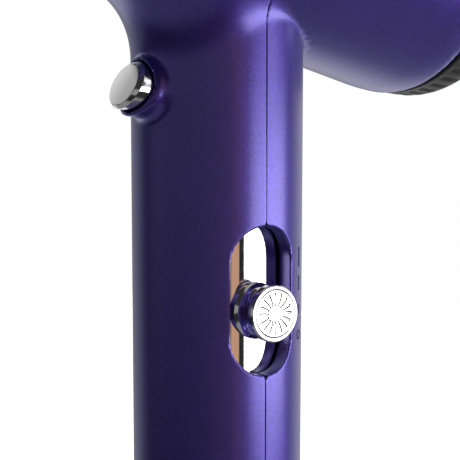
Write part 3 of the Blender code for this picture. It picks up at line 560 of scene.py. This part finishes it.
def bore_field(b, r):
    """The hollow of the barrel and its spigot."""
    tube = np.maximum(r - barrel_radius(np.minimum(b, HOUSING_REAR)) + WALL, SPIGOT_STEP + WALL / 2 - b)
    return np.minimum(tube, r - SPIGOT_BORE_R)


def housing_field(half):
    """Both housings as one field, cut back to one side of the parting line. half is 1 for the rear."""
    turn = BUTTON_IN_HANDLE[:3, :3]
    at = BUTTON_IN_HANDLE[:3, 3]

    def field(x, y, z):
        b = x * math.cos(CANT) - z * math.sin(CANT)
        r = np.hypot(y, x * math.sin(CANT) + z * math.cos(CANT))
        # the fillet under the barrel is wide at the handle's front and narrow behind
        rear = x / np.maximum(np.hypot(x, y), 1e-3)
        fillet = FILLET_REAR + (FILLET_FRONT - FILLET_REAR) * (1 - smooth_step(-0.85, 0.5, rear))
        outside = eased(handle_field(x, y, z), barrel_field(b, r), fillet)
        # the button's raised collar, whose rim falls away to its sides as the handle does
        u = turn[0, 0] * (x - at[0]) + turn[2, 0] * (z - at[2])
        w = turn[0, 2] * (x - at[0]) + turn[2, 2] * (z - at[2])
        ring = np.hypot(u, y)
        rim = w - RIM_HEIGHT + RIM_SLANT * u + RIM_FALL * y**2
        rim = rim / np.sqrt(1 + RIM_SLANT**2 + (2 * RIM_FALL * y) ** 2)
        oval = np.maximum(np.hypot((u + BOSS_DOWN) / BOSS_HALF_UP, y / BOSS_HALF_ACROSS), 1e-3)
        collar = np.hypot(u + BOSS_DOWN, y) * (1 - 1 / oval)
        collar = np.maximum(both(collar, rim, RIM_ROUND), BUTTON_BORE_BACK - w)
        outside = joined(outside, collar, COLLAR_FILLET)
        hollow = np.minimum(bore_field(b, r), handle_field(x, y, z, WALL))
        shell = both(outside, -hollow, 0.2)
        shell = np.minimum(shell, np.maximum(collar, BOSS_BACK - w))
        # the switch's well, and the slot through it
        slot = stadium(x, z + SLOT_AT, SLOT_HALF_W, SLOT_HALF_L)
        well = np.maximum(np.maximum(slot - WELL_WALL, y + WELL_FLOOR), handle_field(x, y, z, WALL / 2))
        well = np.maximum(well, PLATE_R + CLEARANCE - np.hypot(x, y))
        shell = np.minimum(shell, well)
        shell = both(shell, -np.maximum(slot, y + SLOT_FLOOR), 0.42)
        # posts for the two housing screws, each with its sunk hole
        for down in POST_PLACES:
            away = np.hypot(y, z + down)
            shell = np.minimum(shell, np.maximum(away - POST_R, np.maximum(-x, x - POST_END)))
            shell = both(shell, -np.maximum(away - SINK_R, SINK_FLOOR - x), 0.3)
            shell = np.maximum(shell, -np.maximum(away - SCREW_HOLE_R, -1 - x))
        # holes for the button, the cord's gland and the hanging loop
        shell = both(shell, -np.maximum(ring - BUTTON_R - BUTTON_GAP, BUTTON_BORE_BACK - w), 0.2)
        shell = both(shell, -np.maximum(np.hypot(x, y) - GLAND_HOLE_R, z + GLAND_HOLE_TOP), 0.2)
        loop = np.maximum(np.abs(x - LOOP_X) - LOOP_T / 2, np.abs(y) - LOOP_HALF_W) - CLEARANCE
        shell = np.maximum(shell, -np.maximum(loop, z + LOOP_CUT_TOP))
        # the parting line, which opens to a small notch where it meets the slot
        notch = NOTCH_GAP * np.clip(1 - np.abs(slot) / NOTCH_REACH, 0, 1) ** 2 * (y < NOTCH_FRONT)
        return both(shell, SEAM_GAP + notch - half * x, SEAM_EDGE)

    return field


def housings():
    """Both halves, on grids with fine steps round the slot, and round the button on the front half."""
    edge, middle_part = 17.6, 7.0
    slot_y = ((-36.5, 1.25), (-20.5, 0.3))
    front_y = spaced(*slot_y, (-11.5, 0.6), (-8.5, 0.42), (8.5, 1.25), 36.5)
    rear_y = spaced(*slot_y, (-11.5, 1.25), 36.5)
    slot_z = ((-SLOT_AT - edge, 0.32), (-SLOT_AT - middle_part, 1.0), (-SLOT_AT + middle_part, 0.32))
    axes_z = spaced(
        (-135.5, 0.8), (-129, 1.25), *slot_z, (-SLOT_AT + edge, 1.2), (-49.5, 0.42), (-32.5, 1.25), 37
    )
    front_x = spaced((-77, 1.25), (-25, 0.48), (-15.5, 1.0), (-10.2, 0.38), 1.05)
    rear_x = spaced((-1.05, 0.32), (10.5, 1.25), 61)
    for name, axes, half in (
        ("front_housing", (front_x, front_y, axes_z), -1), ("rear_housing", (rear_x, rear_y, axes_z), 1)
    ):
        skin = surface_net(name + "_skin", housing_field(half), axes, HANDLE)
        add_piece(skin, "satin_purple", "housing", (name,))


# ---------------------------------------------------------------- nozzle, grille, cover and screen

NOZZLE_BACK, NOZZLE_COLLAR, NOZZLE_TIP = SPIGOT_STEP - 0.4, -73.0, -96.0
NOZZLE_R, NOZZLE_WALL = 23.2, 1.6
MOUTH_HALF_W, MOUTH_HALF_H = 28.0, 4.9
NOZZLE_RIBS, RIB_HALF_W, RIB_LIFT = (-63.4, -65.8, -68.2), 0.7, 0.28
GRILLE_FRONT, GRILLE_REAR = -68.0, -65.6
COVER_FRONT, COVER_REAR, COVER_R = HOUSING_REAR + 0.4, 65.0, 35.0
COVER_SIDE_WALL, COVER_END_WALL = 2.7, 1.8
COVER_COLLAR_R, COVER_COLLAR_HALF_T, COVER_COLLAR_AT = 31.45, 0.85, 52.2
COVER_SLOTS, COVER_SLOT_AT, COVER_SLOT_HALF_W, COVER_SLOT_HALF_L = 18, 17.5, 1.0, 6.5
COVER_GROOVES = (9.2, 26.6)
FLUTE_TURN, FLUTE_R = math.radians(6), 1.15


def nozzle_ring(b, inset, points=96):
    """A section of the nozzle: round at the collar, a flat slot at the mouth."""
    t = float(smooth_step(0, NOZZLE_COLLAR - NOZZLE_TIP, NOZZLE_COLLAR - b))
    half_w = NOZZLE_R + (MOUTH_HALF_W - NOZZLE_R) * t - inset
    half_h = NOZZLE_R + (MOUTH_HALF_H - NOZZLE_R) * t - inset
    power = 2 / (2 + 2 * t)
    angles = 2 * np.pi * (np.arange(points) + 0.5) / points
    c, s = np.cos(angles), np.sin(angles)
    return np.stack([
        np.copysign(np.abs(c) ** power * half_h, c),
        np.copysign(np.abs(s) ** power * half_w, s),
        np.full(points, b),
    ], -1)


def concentrator_nozzle():
    """The push-on nozzle, with a rounded rim at each end and three grip rings on its collar."""
    half, lip = NOZZLE_WALL / 2, 1.2

    def rim(b, way):
        turns = [math.pi * k / 8 for k in range(9)]
        return [(b + way * half * math.sin(a) - way * half, half - half * math.cos(a)) for a in turns]

    outside = [(b, 0.0) for b in np.linspace(NOZZLE_BACK - lip, -61.8, 3)]
    for centre in NOZZLE_RIBS:
        for a in np.linspace(0, math.pi, 7):
            outside.append((centre + RIB_HALF_W * math.cos(a), -RIB_LIFT * math.sin(a)))
    outside += [(b, 0.0) for b in np.linspace(-70, NOZZLE_TIP + lip, 26)]
    inside = [(b, NOZZLE_WALL) for b in np.linspace(NOZZLE_TIP + lip, NOZZLE_BACK - lip, 26)]
    path = outside + rim(NOZZLE_TIP, -1) + inside + rim(NOZZLE_BACK, 1)[::-1]
    rings = [nozzle_ring(b, inset) for b, inset in path]
    piece = loft("concentrator_nozzle_shell", rings, BARREL, 40, tube=True)
    add_piece(piece, "black_plastic", "nozzle", ("concentrator_nozzle",), GLOSS_BLACK)


def in_barrel(field):
    """Turns a field of (axial, radius, angle) into one of the barrel frame's own x, y and z."""
    return lambda x, y, z: field(z, np.hypot(x, y), np.arctan2(y, x))


def outlet_grille():
    """The finger guard: three rings and a hub on six spokes."""
    centre = (GRILLE_FRONT + GRILLE_REAR) / 2

    def field(b, r, angle):
        def ring(outer, inner, half_depth):
            band = np.abs(r - (outer + inner) / 2) - (outer - inner) / 2
            return both(band, np.abs(b - centre) - half_depth, 0.35)

        out = np.minimum(ring(SPIGOT_BORE_R - CLEARANCE, 17.4, 1.2), ring(13.1, 11.7, 1.1))
        out = np.minimum(np.minimum(out, ring(8.0, 6.7, 1.1)), both(r - 2.6, np.abs(b - centre) - 1.1, 0.4))
        half_turn = math.pi / 6
        across = r * np.sin(half_turn - np.abs(np.mod(angle, 2 * half_turn) - half_turn))
        bar = both(both(np.abs(across) - 0.65, np.abs(b - centre) - 0.8, 0.3), r - 18, 0.1)
        return joined(out, bar, 0.4)

    side = spaced((-19.6, 0.42), 19.6)
    depth = spaced((GRILLE_FRONT - 0.8, 0.33), GRILLE_REAR + 0.8)
    piece = surface_net("outlet_grille_guard", in_barrel(field), (side, side, depth), BARREL)
    add_piece(piece, "black_plastic", "housing", ("outlet_grille",))


def intake_cover():
    """The twist-off cover: a rounded cap with radial air slots and a locking collar."""

    def field(b, r, angle):
        outside = both(both(r - COVER_R, b - COVER_REAR, 6.5), COVER_FRONT - b, 0.4)
        hollow = both(r - COVER_R + COVER_SIDE_WALL, b - COVER_REAR + COVER_END_WALL, 5.5)
        shell = both(outside, -hollow, 0.3)
        collar = np.abs(r - COVER_COLLAR_R) - COVER_COLLAR_HALF_T
        shell = joined(shell, both(collar, np.abs(b - COVER_COLLAR_AT) - 3.0, 0.3), 0.3)
        turn = 2 * math.pi / COVER_SLOTS
        local = np.mod(angle + turn / 2, turn) - turn / 2
        along = r * np.cos(local) - COVER_SLOT_AT
        slot = stadium(r * np.sin(local), along, COVER_SLOT_HALF_W, COVER_SLOT_HALF_L)
        shell = both(shell, -np.maximum(slot, 58 - b), 0.4)
        # two shallow turned grooves, round the slots and round the middle
        for radius in COVER_GROOVES:
            shell = both(shell, 0.5 - np.hypot(r - radius, b - COVER_REAR - 0.15), 0.15)
        # grip flutes round the edge
        flute = np.mod(angle, FLUTE_TURN) - FLUTE_TURN / 2
        depth = np.hypot(r * np.sin(flute), r - COVER_R - 0.75) - FLUTE_R
        return both(shell, -np.maximum(depth, np.maximum(b - 61, 55.2 - b)), 0.2)

    side = spaced((-35.6, 0.46), 35.6)
    depth = spaced((48.6, 0.5), (63, 0.34), 65.8)
    piece = surface_net("intake_cover_shell", in_barrel(field), (side, side, depth), BARREL)
    add_piece(piece, "black_plastic", "rear_cover", ("intake_cover",))


def intake_filter():
    """A woven wire screen in a thin pressed ring."""
    radius, centre, wire, pitch = 25.5, 60.45, 0.13, 1.25
    points, faces = [], []
    count = int(radius / pitch)
    for way in (0, 1):
        for n in range(-count, count + 1):
            across = n * pitch
            reach = math.sqrt(max(0.0, (radius - 0.3) ** 2 - across**2))
            steps = max(2, int(4 * reach / pitch))
            first = len(points)
            for i in range(steps + 1):
                along = -reach + 2 * reach * i / steps
                lift = wire * math.cos(math.pi * along / pitch) * (1 if (n + way) % 2 else -1)
                for a in range(4):
                    side = across + wire * math.cos(math.pi / 4 + a * math.pi / 2)
                    height = centre + lift + wire * math.sin(math.pi / 4 + a * math.pi / 2)
                    points.append((side, along, height) if way else (along, side, height))
            for i in range(steps):
                for a in range(4):
                    c = (a + 1) % 4
                    k = first + 4 * i
                    faces.append((k + a, k + c, k + 4 + c, k + 4 + a))
            faces.append(tuple(range(first, first + 4)))
            faces.append(tuple(range(len(points) - 4, len(points))))
    screen = object_from("intake_screen", points, faces, BARREL)
    inner, front, back = radius - 1.2, centre - 0.25, centre + 0.25
    rim = soften([(radius, back), (radius, front), (inner, front), (inner, back)], 0.1)
    ring = lathe("intake_screen_ring", rim, BARREL, closed=True)
    add_piece(screen, "steel", "rear_cover", ("intake_filter",))
    add_piece(ring, "steel", "rear_cover")


# ---------------------------------------------------------------- thumb switch


def switch_knob():
    """The turned knob: flange, waist and a flat head with a plain ring and radial grip grooves."""
    waist_at, waist_r, flange_r, flange_top, base = 16.9, 3.0, KNOB_R - 0.2, 14.5, 11.8
    neck = [
        (KNOB_R + 1.9 + waist_r * math.cos(a), waist_at + waist_r * math.sin(a))
        for a in np.radians(np.linspace(130, 230, 22))
    ]
    edge = [(KNOB_R - 0.35, KNOB_FACE), (KNOB_R, KNOB_FACE - 0.35), (KNOB_R, KNOB_FACE - 1.4)]
    foot = soften([neck[-1], (flange_r, flange_top), (flange_r, base)], 0.2)
    outline = soften([*edge, neck[0]], 0.15) + neck[1:-1] + foot + [(0.0, base)]
    steps, grooves, groove_width, groove_depth = 192, 16, 0.34, 0.16
    rings = [0.55, 0.9, 1.3] + list(np.linspace(1.55, 4.55, 25)) + [4.7, 4.85, 4.95, 5.05, 5.15, 5.25, 5.4]
    angles = np.arange(steps) * 2 * math.pi / steps
    points = [(0.0, 0.0, KNOB_FACE - 0.02)]
    for r in rings:
        fold = np.abs(np.mod(angles * grooves / (2 * math.pi) + 0.5, 1) - 0.5) * 2 * math.pi * r / grooves
        width = groove_width * (0.6 + 0.4 * math.sin(math.pi * min(1, max(0, (r - 1.7) / 2.6))))
        ends = float(smooth_step(1.6, 1.95, r) * (1 - smooth_step(4.1, 4.45, r)))
        depth = groove_depth * ends * (1 - smooth_step(0.35 * width, width, fold))
        depth = depth + 0.1 * max(0.0, 1 - abs(r - 5.05) / 0.16) + 0.05 * max(0.0, 1 - abs(r - 1.1) / 0.3)
        points += [(r * math.cos(a), r * math.sin(a), KNOB_FACE - d) for a, d in zip(angles, depth)]
    for r, h in outline[:-1]:
        points += [(r * math.cos(a), r * math.sin(a), h) for a in angles]
    points.append((0.0, 0.0, outline[-1][1]))
    total = (len(points) - 2) // steps
    faces = []
    for i in range(steps):
        j = (i + 1) % steps
        faces.append((0, 1 + i, 1 + j))
        for k in range(total - 1):
            a = 1 + k * steps
            faces.append((a + i, a + j, a + steps + j, a + steps + i))
        last = 1 + (total - 1) * steps
        faces.append((last + j, last + i, len(points) - 1))
    add_piece(object_from("thumb_knob", points, faces, KNOB, 45), "chrome", "thumb_slider", ("switch_knob",))


def switch_slide_plate():
    """The curved plate under the slot, polished, with rounded edges."""
    half_angle, half_length, count, bevel = math.radians(40), 24.8, 48, 0.2
    full = half_length - bevel
    rings = []
    for z, inset in ((-half_length, bevel), (-full, 0), (full, 0), (half_length, bevel)):
        ring = []
        outer, inner = PLATE_R - inset, PLATE_R - PLATE_T + inset
        for radius, order in ((outer, range(count + 1)), (inner, range(count, -1, -1))):
            for k in order:
                a = (-half_angle + 2 * half_angle * k / count) * (1 - 0.3 * inset / half_length)
                ring.append((radius * math.sin(a), -radius * math.cos(a), z - KNOB_AT))
        rings.append(ring)
    plate = loft("thumb_slide_plate", rings, HANDLE)
    add_piece(plate, "chrome", "thumb_slider", ("switch_slide_plate",))


def switch_marks():
    """Printed marks beside the slot: three heat bars of growing length, and a ring for off."""
    lift, turn = 0.035, math.radians(38.5)

    def on_handle(angle, down):
        loss = HANDLE_TAPER * max(0.0, down - TAPER_FROM) - lift
        return (HANDLE_Q - loss) * math.sin(angle), -(HANDLE_P - loss) * math.cos(angle), -down

    points, faces = [], []

    def strip(rows):
        """rows of (angle offset in mm, down) points, each row as long as the next."""
        first, width = len(points), len(rows[0])
        for row in rows:
            points.extend(on_handle(turn + offset / HANDLE_P, down) for offset, down in row)
        for i in range(len(rows) - 1):
            for k in range(width - 1):
                a = first + i * width + k
                faces.append((a, a + 1, a + width + 1, a + width))

    pitch = 5.6
    offsets = np.linspace(-0.35, 0.35, 4)
    for place, length in ((-1.5, 4.2), (-0.5, 3.1), (0.5, 2.0)):
        stop = SLOT_AT + place * pitch
        strip([[(o, d) for o in offsets] for d in np.linspace(stop - length / 2, stop + length / 2, 6)])
    off = SLOT_AT + 1.5 * pitch
    angles = np.linspace(0, 2 * math.pi, 33)
    strip([[(r * math.cos(a), off + r * math.sin(a)) for a in angles] for r in (0.75, 1.15)])
    marks = object_from("switch_marks", points, faces, HANDLE)
    thick = marks.modifiers.new("thickness", "SOLIDIFY")
    thick.thickness = 0.06 * mm
    thick.offset = 0
    add_piece(marks, "black_plastic", "housing", material=MARK)


# ---------------------------------------------------------------- cool-shot button


def cool_shot_button():
    """The button's cap: a crowned, slanted face, a wide shoulder, a straight side and a flange behind."""
    face_height, face_r, crown_fall = 5.32, 4.4, 0.012
    flange_r, flange_front, flange_back = 6.2, -6.3, -7.2
    crown = [(r, face_height - crown_fall * r * r) for r in np.linspace(0, face_r, 12)]
    shoulder = soften([crown[-1], (4.6, 5.05), (BUTTON_R, 4.1), (BUTTON_R, 3.0)], 0.12, 5)
    side = [(BUTTON_R, 2.9), (BUTTON_R, flange_front), (flange_r, flange_front)]
    body = soften([*side, (flange_r, flange_back), (4, flange_back)], 0.2, 3)
    profile = crown[:-1] + shoulder + body[1:] + [(0.0, flange_back)]
    cap = lathe("cool_shot_cap", profile, BUTTON, 128, sharp=60, slant=FACE_SLANT)
    add_piece(cap, "chrome", "cool_shot", ("cool_shot_button",))


# ---------------------------------------------------------------- handle end and screws


def cord_gland():
    """The rubber bush: a flange inside, a flange outside, and three soft ribs down to its mouth."""
    inner, outer, tip, bore = HANDLE_END - WALL - CLEARANCE, HANDLE_END + CLEARANCE, 139.5, 3.7
    neck = GLAND_HOLE_R - CLEARANCE
    ribs = []
    for k in range(25):
        t = k / 24
        swell = 0.28 * math.cos(2 * math.pi * 3 * t)
        ribs.append((7.0 - 1.75 * t + swell * (1 - 0.3 * t), -outer - 1.0 - (tip - outer - 1.4) * t))
    flange = [(8.0, -inner + 2), (8.0, -inner), (neck, -inner), (neck, -outer), (7.4, -outer)]
    profile = soften([*flange, ribs[0]], 0.25)
    profile += ribs[1:] + soften([(5.2, -tip + 0.4), (5.0, -tip), (bore, -tip), (bore, -inner + 2)], 0.3)[1:]
    gland = lathe("cord_gland_bush", profile, HANDLE, closed=True)
    add_piece(gland, "black_rubber", "housing", ("cord_gland",))


def hanging_loop():
    """A flat loop with a round eye, on a wide foot inside the handle's end."""
    eye_mid = LOOP_TIP - LOOP_HALF_W
    foot_half_w, foot_mid, foot_half_h = 8.3, 130.3, 1.1

    def field(x, y, z):
        outline = stadium(y, np.minimum(z + eye_mid, 0), LOOP_HALF_W, LOOP_HALF_W)
        outline = np.maximum(outline, z + HANDLE_END - 4)
        hole = LOOP_EYE_R - np.hypot(y, z + eye_mid)
        flat = np.abs(x - LOOP_X) - LOOP_T / 2
        loop = both(both(outline, flat, 0.8), hole, 0.7)
        foot = np.maximum(flat + 0.2, np.abs(y) - foot_half_w)
        foot = np.maximum(foot, np.abs(z + foot_mid) - foot_half_h)
        return np.minimum(loop, foot)

    axes = (spaced((9.0, 0.3), 13.4), spaced((-9, 0.4), 9), spaced((-148.6, 0.4), -128.6))
    loop_piece = surface_net("hanging_loop_eye", field, axes, HANDLE)
    add_piece(loop_piece, "black_rubber", "housing", ("hanging_loop",))


def housing_screws():
    """Pan-head screws with a cross recess, in the sunk holes behind the handle."""
    for n, down in enumerate(POST_PLACES, 1):
        place = HANDLE @ Matrix.Translation((0, 0, -down)) @ Matrix.Rotation(math.pi / 2, 4, "Y")
        head = [(0.0, 10.6), (1.4, 10.52), (2.2, 10.2), (2.65, 9.6), (2.8, 8.9), (2.8, 8.5)]
        profile = head + soften([(2.8, 8.5), (1.2, 8.5), (1.2, -8.6), (0.3, -9.5)], 0.15)[1:] + [(0.0, -9.5)]
        screw = lathe(f"housing_screw_{n}_pan", profile, place, 64)
        bpy.context.scene.collection.objects.link(screw)
        for half_x, half_y in ((0.3, 1.45), (1.45, 0.3)):
            corners = [(-half_x, -half_y), (half_x, -half_y), (half_x, half_y), (-half_x, half_y)]
            rings = [
                [(x * taper, y * taper, height) for x, y in corners]
                for taper, height in ((0.7, 9.6), (1.0, 12.0))
            ]
            cutter = loft("recess", rings, place)
            bpy.context.scene.collection.objects.link(cutter)
            cut(screw, cutter)
        add_piece(screw, "steel", "housing", (f"housing_screw_{n}",))


def cut(obj, cutter):
    """Takes cutter out of obj for good, and removes it."""
    modifier = obj.modifiers.new("cut", "BOOLEAN")
    modifier.operation = "DIFFERENCE"
    modifier.solver = "EXACT"
    modifier.object = cutter
    bpy.context.view_layer.update()
    evaluated = obj.evaluated_get(bpy.context.evaluated_depsgraph_get())
    mesh = bpy.data.meshes.new_from_object(evaluated)
    obj.modifiers.clear()
    obj.data = mesh
    mesh.set_sharp_from_angle(angle=math.radians(35))
    bpy.data.objects.remove(cutter)


# ---------------------------------------------------------------- the CAD nodes that stay


def finish_cad_nodes():
    """Gives every CAD node the finish of its material slot."""
    slots = {part["node"]: part["material_slot"] for part in frame["record"]["subparts"]}
    for name, obj in frame["nodes"].items():
        obj.data.materials.clear()
        obj.data.materials.append(MATERIALS[slots[name]])


# ---------------------------------------------------------------- camera, floor and light

CAMERA_TURN = math.radians(35.8)  # from the switch's side towards the front
CAMERA_DOWN = math.radians(5.0)
CAMERA_AWAY = 0.45
AIM_RIGHT, AIM_DOWN = 2.8, 71.2  # mm from the handle's axis, and down it
FRAME_WIDTH = 99.544 * mm  # what the picture takes in at the handle's axis
SENSOR = 36.0


def camera():
    """Looks at the switch and the button from the front, a little from above, as the photo does."""
    rotate = HANDLE.to_3x3().normalized()
    towards = rotate @ Vector((
        -math.sin(CAMERA_TURN) * math.cos(CAMERA_DOWN),
        -math.cos(CAMERA_TURN) * math.cos(CAMERA_DOWN),
        math.sin(CAMERA_DOWN),
    ))
    right = rotate @ Vector((math.cos(CAMERA_TURN), -math.sin(CAMERA_TURN), 0))
    aim = HANDLE @ Vector((0, 0, -AIM_DOWN)) + right * AIM_RIGHT * mm
    data = bpy.data.cameras.new("camera")
    data.sensor_width = SENSOR
    data.lens = SENSOR * CAMERA_AWAY / FRAME_WIDTH
    data.clip_start = 0.01
    obj = bpy.data.objects.new("camera", data)
    facing = Matrix((right, towards.cross(right), towards)).transposed().to_4x4()
    obj.matrix_world = Matrix.Translation(aim + towards * CAMERA_AWAY) @ facing
    bpy.context.scene.collection.objects.link(obj)
    bpy.context.scene.camera = obj
    return towards


def staged(name, points, faces, material):
    """A flat piece of the studio, which isn't part of the object."""
    mesh = bpy.data.meshes.new(name)
    mesh.from_pydata([tuple(p) for p in points], [], faces)
    mesh.materials.append(material)
    obj = bpy.data.objects.new(name, mesh)
    return obj


def floor():
    """A round of pale paper, washed by a lamp of its own so that it is as light as the room behind it."""
    steps, radius = 96, 1.5
    turns = [2 * math.pi * k / steps for k in range(steps)]
    n = Nodes("floor_paper", (0.92, 0.92, 0.92), 0.9)
    n.colour_from(n.ramp(n.noise(3, 3), (0.3, 0.915), (0.7, 0.93)))
    rim = [(ORIGIN.x + radius * math.cos(a), radius * math.sin(a), 0) for a in turns]
    paper = staged("floor", rim, [tuple(range(steps))], n.material)
    paper.visible_glossy = False
    paper.visible_diffuse = False
    only_paper = bpy.data.collections.new("floor_only")
    bpy.context.scene.collection.children.link(only_paper)
    only_paper.objects.link(paper)
    data = bpy.data.lights.new("floor_wash", "SUN")
    data.energy = 3.5
    data.angle = math.radians(70)
    wash = bpy.data.objects.new("floor_wash", data)
    wash.light_linking.receiver_collection = only_paper
    bpy.context.scene.collection.objects.link(wash)


SOFTBOX_TURN, SOFTBOX_HALF_TURN = 75.0, 26.0  # degrees from the camera, as seen from the handle
SOFTBOX_AWAY, SOFTBOX_TOP, SOFTBOX_FOOT, SOFTBOX_LIGHT = 0.28, -0.060, -0.160, 3.9
SALMON = (0.55, 0.31, 0.20)
# The room's light by angle round the object, from the camera's side and positive to its right
LOW_LIGHT = [
    (-180, 0.8), (-150, 0.8), (-135, 0.3), (-115, 0.2), (-105, 0.02), (100, 0.03), (108, 0.8), (180, 0.8),
]
LEVEL_LIGHT = [
    (-180, 0.35), (-150, 0.33), (-126, 0.31), (-114, 0.05), (-102, 0.03), (-90, 0.26), (20, 0.27),
    (26, 0.12), (28, SALMON), (41, SALMON), (42, 0.02), (49, 0.02), (51, 0.1), (67, 0.1), (69, 0.85),
    (87, 0.85), (89, 0.1), (102, 0.03), (119, 0.03), (124, 0.5), (150, 0.65), (180, 0.35),
]
RAISED_LIGHT = [
    (-180, 0.55), (-128, 0.68), (-114, 0.42), (-98, 0.33), (-90, 0.03), (20, 0.03), (27, 0.05),
    (28, SALMON), (41, SALMON), (42, 0.02), (49, 0.02), (51, 0.1), (69, 0.1), (71, 1.2), (85, 1.2),
    (87, 0.1), (102, 0.05), (119, 0.05), (124, 0.58), (150, 0.6), (180, 0.55),
]
HIGH_LIGHT = [(-180, 0.03), (52, 0.03), (64, 0.7), (180, 0.6)]
LIGHT_BELOW, LIGHT_OVERHEAD = (0.23, 0.23, 0.24), [(-180, 0.35), (180, 0.35)]
# Each takes over from the light below it between two angles of elevation
LIGHT_RINGS = (
    (-50, -40, LOW_LIGHT),
    (-18, -12, LEVEL_LIGHT),
    (5, 12, RAISED_LIGHT),
    (26, 32, HIGH_LIGHT),
    (55, 70, LIGHT_OVERHEAD),
)


def softbox(towards):
    """A near, flat panel to the right of the camera, whose light runs down the handle's side."""
    toward_camera = HANDLE.to_3x3().normalized().transposed() @ towards
    turn = math.atan2(toward_camera.y, toward_camera.x) + math.radians(SOFTBOX_TURN)
    out = Vector((math.cos(turn), math.sin(turn), 0))
    side = Vector((-out.y, out.x, 0))
    half_width = SOFTBOX_AWAY * math.tan(math.radians(SOFTBOX_HALF_TURN))
    corners = [
        HANDLE @ ((out * SOFTBOX_AWAY + side * half_width * across + Vector((0, 0, height))) / mm)
        for across, height in ((-1, SOFTBOX_TOP), (-1, SOFTBOX_FOOT), (1, SOFTBOX_FOOT), (1, SOFTBOX_TOP))
    ]
    material = bpy.data.materials.new("softbox_cloth")
    material.use_nodes = True
    shader = material.node_tree.nodes["Principled BSDF"]
    shader.inputs["Base Color"].default_value = (0, 0, 0, 1)
    shader.inputs["Emission Color"].default_value = (1, 1, 1, 1)
    shader.inputs["Emission Strength"].default_value = SOFTBOX_LIGHT
    panel = staged("softbox", corners, [(0, 1, 2, 3)], material)
    bpy.context.scene.collection.objects.link(panel)
    panel.visible_camera = False


def studio(towards):
    """The room as rings of panels, plain white to the camera itself."""
    world = bpy.data.worlds.new("studio")
    bpy.context.scene.world = world
    world.use_nodes = True
    tree = world.node_tree
    tree.nodes.clear()

    def math_node(operation, a, b=None, c=None):
        made = tree.nodes.new("ShaderNodeMath")
        made.operation = operation
        for socket, value in zip(made.inputs, (a, b, c)):
            if isinstance(value, bpy.types.NodeSocket):
                tree.links.new(value, socket)
            elif value is not None:
                socket.default_value = value
        return made.outputs[0]

    turned = tree.nodes.new("ShaderNodeVectorRotate")
    turned.rotation_type = "Z_AXIS"
    turned.inputs["Angle"].default_value = -math.atan2(towards.y, towards.x)
    tree.links.new(tree.nodes.new("ShaderNodeTexCoord").outputs["Generated"], turned.inputs["Vector"])
    split = tree.nodes.new("ShaderNodeSeparateXYZ")
    tree.links.new(turned.outputs["Vector"], split.inputs["Vector"])
    angle = math_node("ARCTAN2", split.outputs["Y"], split.outputs["X"])
    around = math_node("MULTIPLY_ADD", angle, 1 / (2 * math.pi), 0.5)
    raised = math_node("MULTIPLY_ADD", math_node("ARCSINE", split.outputs["Z"]), 1 / math.pi, 0.5)

    light = LIGHT_BELOW
    for start, end, ring in LIGHT_RINGS:
        turns = [(degrees / 360 + 0.5, shade) for degrees, shade in ring]
        step = colour_ramp(tree, raised, [(start / 180 + 0.5, 0.0), (end / 180 + 0.5, 1.0)])
        light = colour_mix(tree, step, light, colour_ramp(tree, around, turns))
    lit = tree.nodes.new("ShaderNodeBackground")
    tree.links.new(light, lit.inputs["Color"])
    plain = tree.nodes.new("ShaderNodeBackground")
    plain.inputs["Color"].default_value = (1, 1, 1, 1)
    choose = tree.nodes.new("ShaderNodeMixShader")
    tree.links.new(tree.nodes.new("ShaderNodeLightPath").outputs["Is Camera Ray"], choose.inputs["Fac"])
    tree.links.new(lit.outputs[0], choose.inputs[1])
    tree.links.new(plain.outputs[0], choose.inputs[2])
    tree.links.new(choose.outputs[0], tree.nodes.new("ShaderNodeOutputWorld").inputs["Surface"])


bpy.context.scene.view_settings.view_transform = "Standard"
bpy.context.scene.view_settings.look = "None"
finish_cad_nodes()
housings()
concentrator_nozzle()
outlet_grille()
intake_cover()
intake_filter()
switch_knob()
switch_slide_plate()
switch_marks()
cool_shot_button()
cord_gland()
hanging_loop()
housing_screws()
floor()
towards_camera = camera()
softbox(towards_camera)
studio(towards_camera)
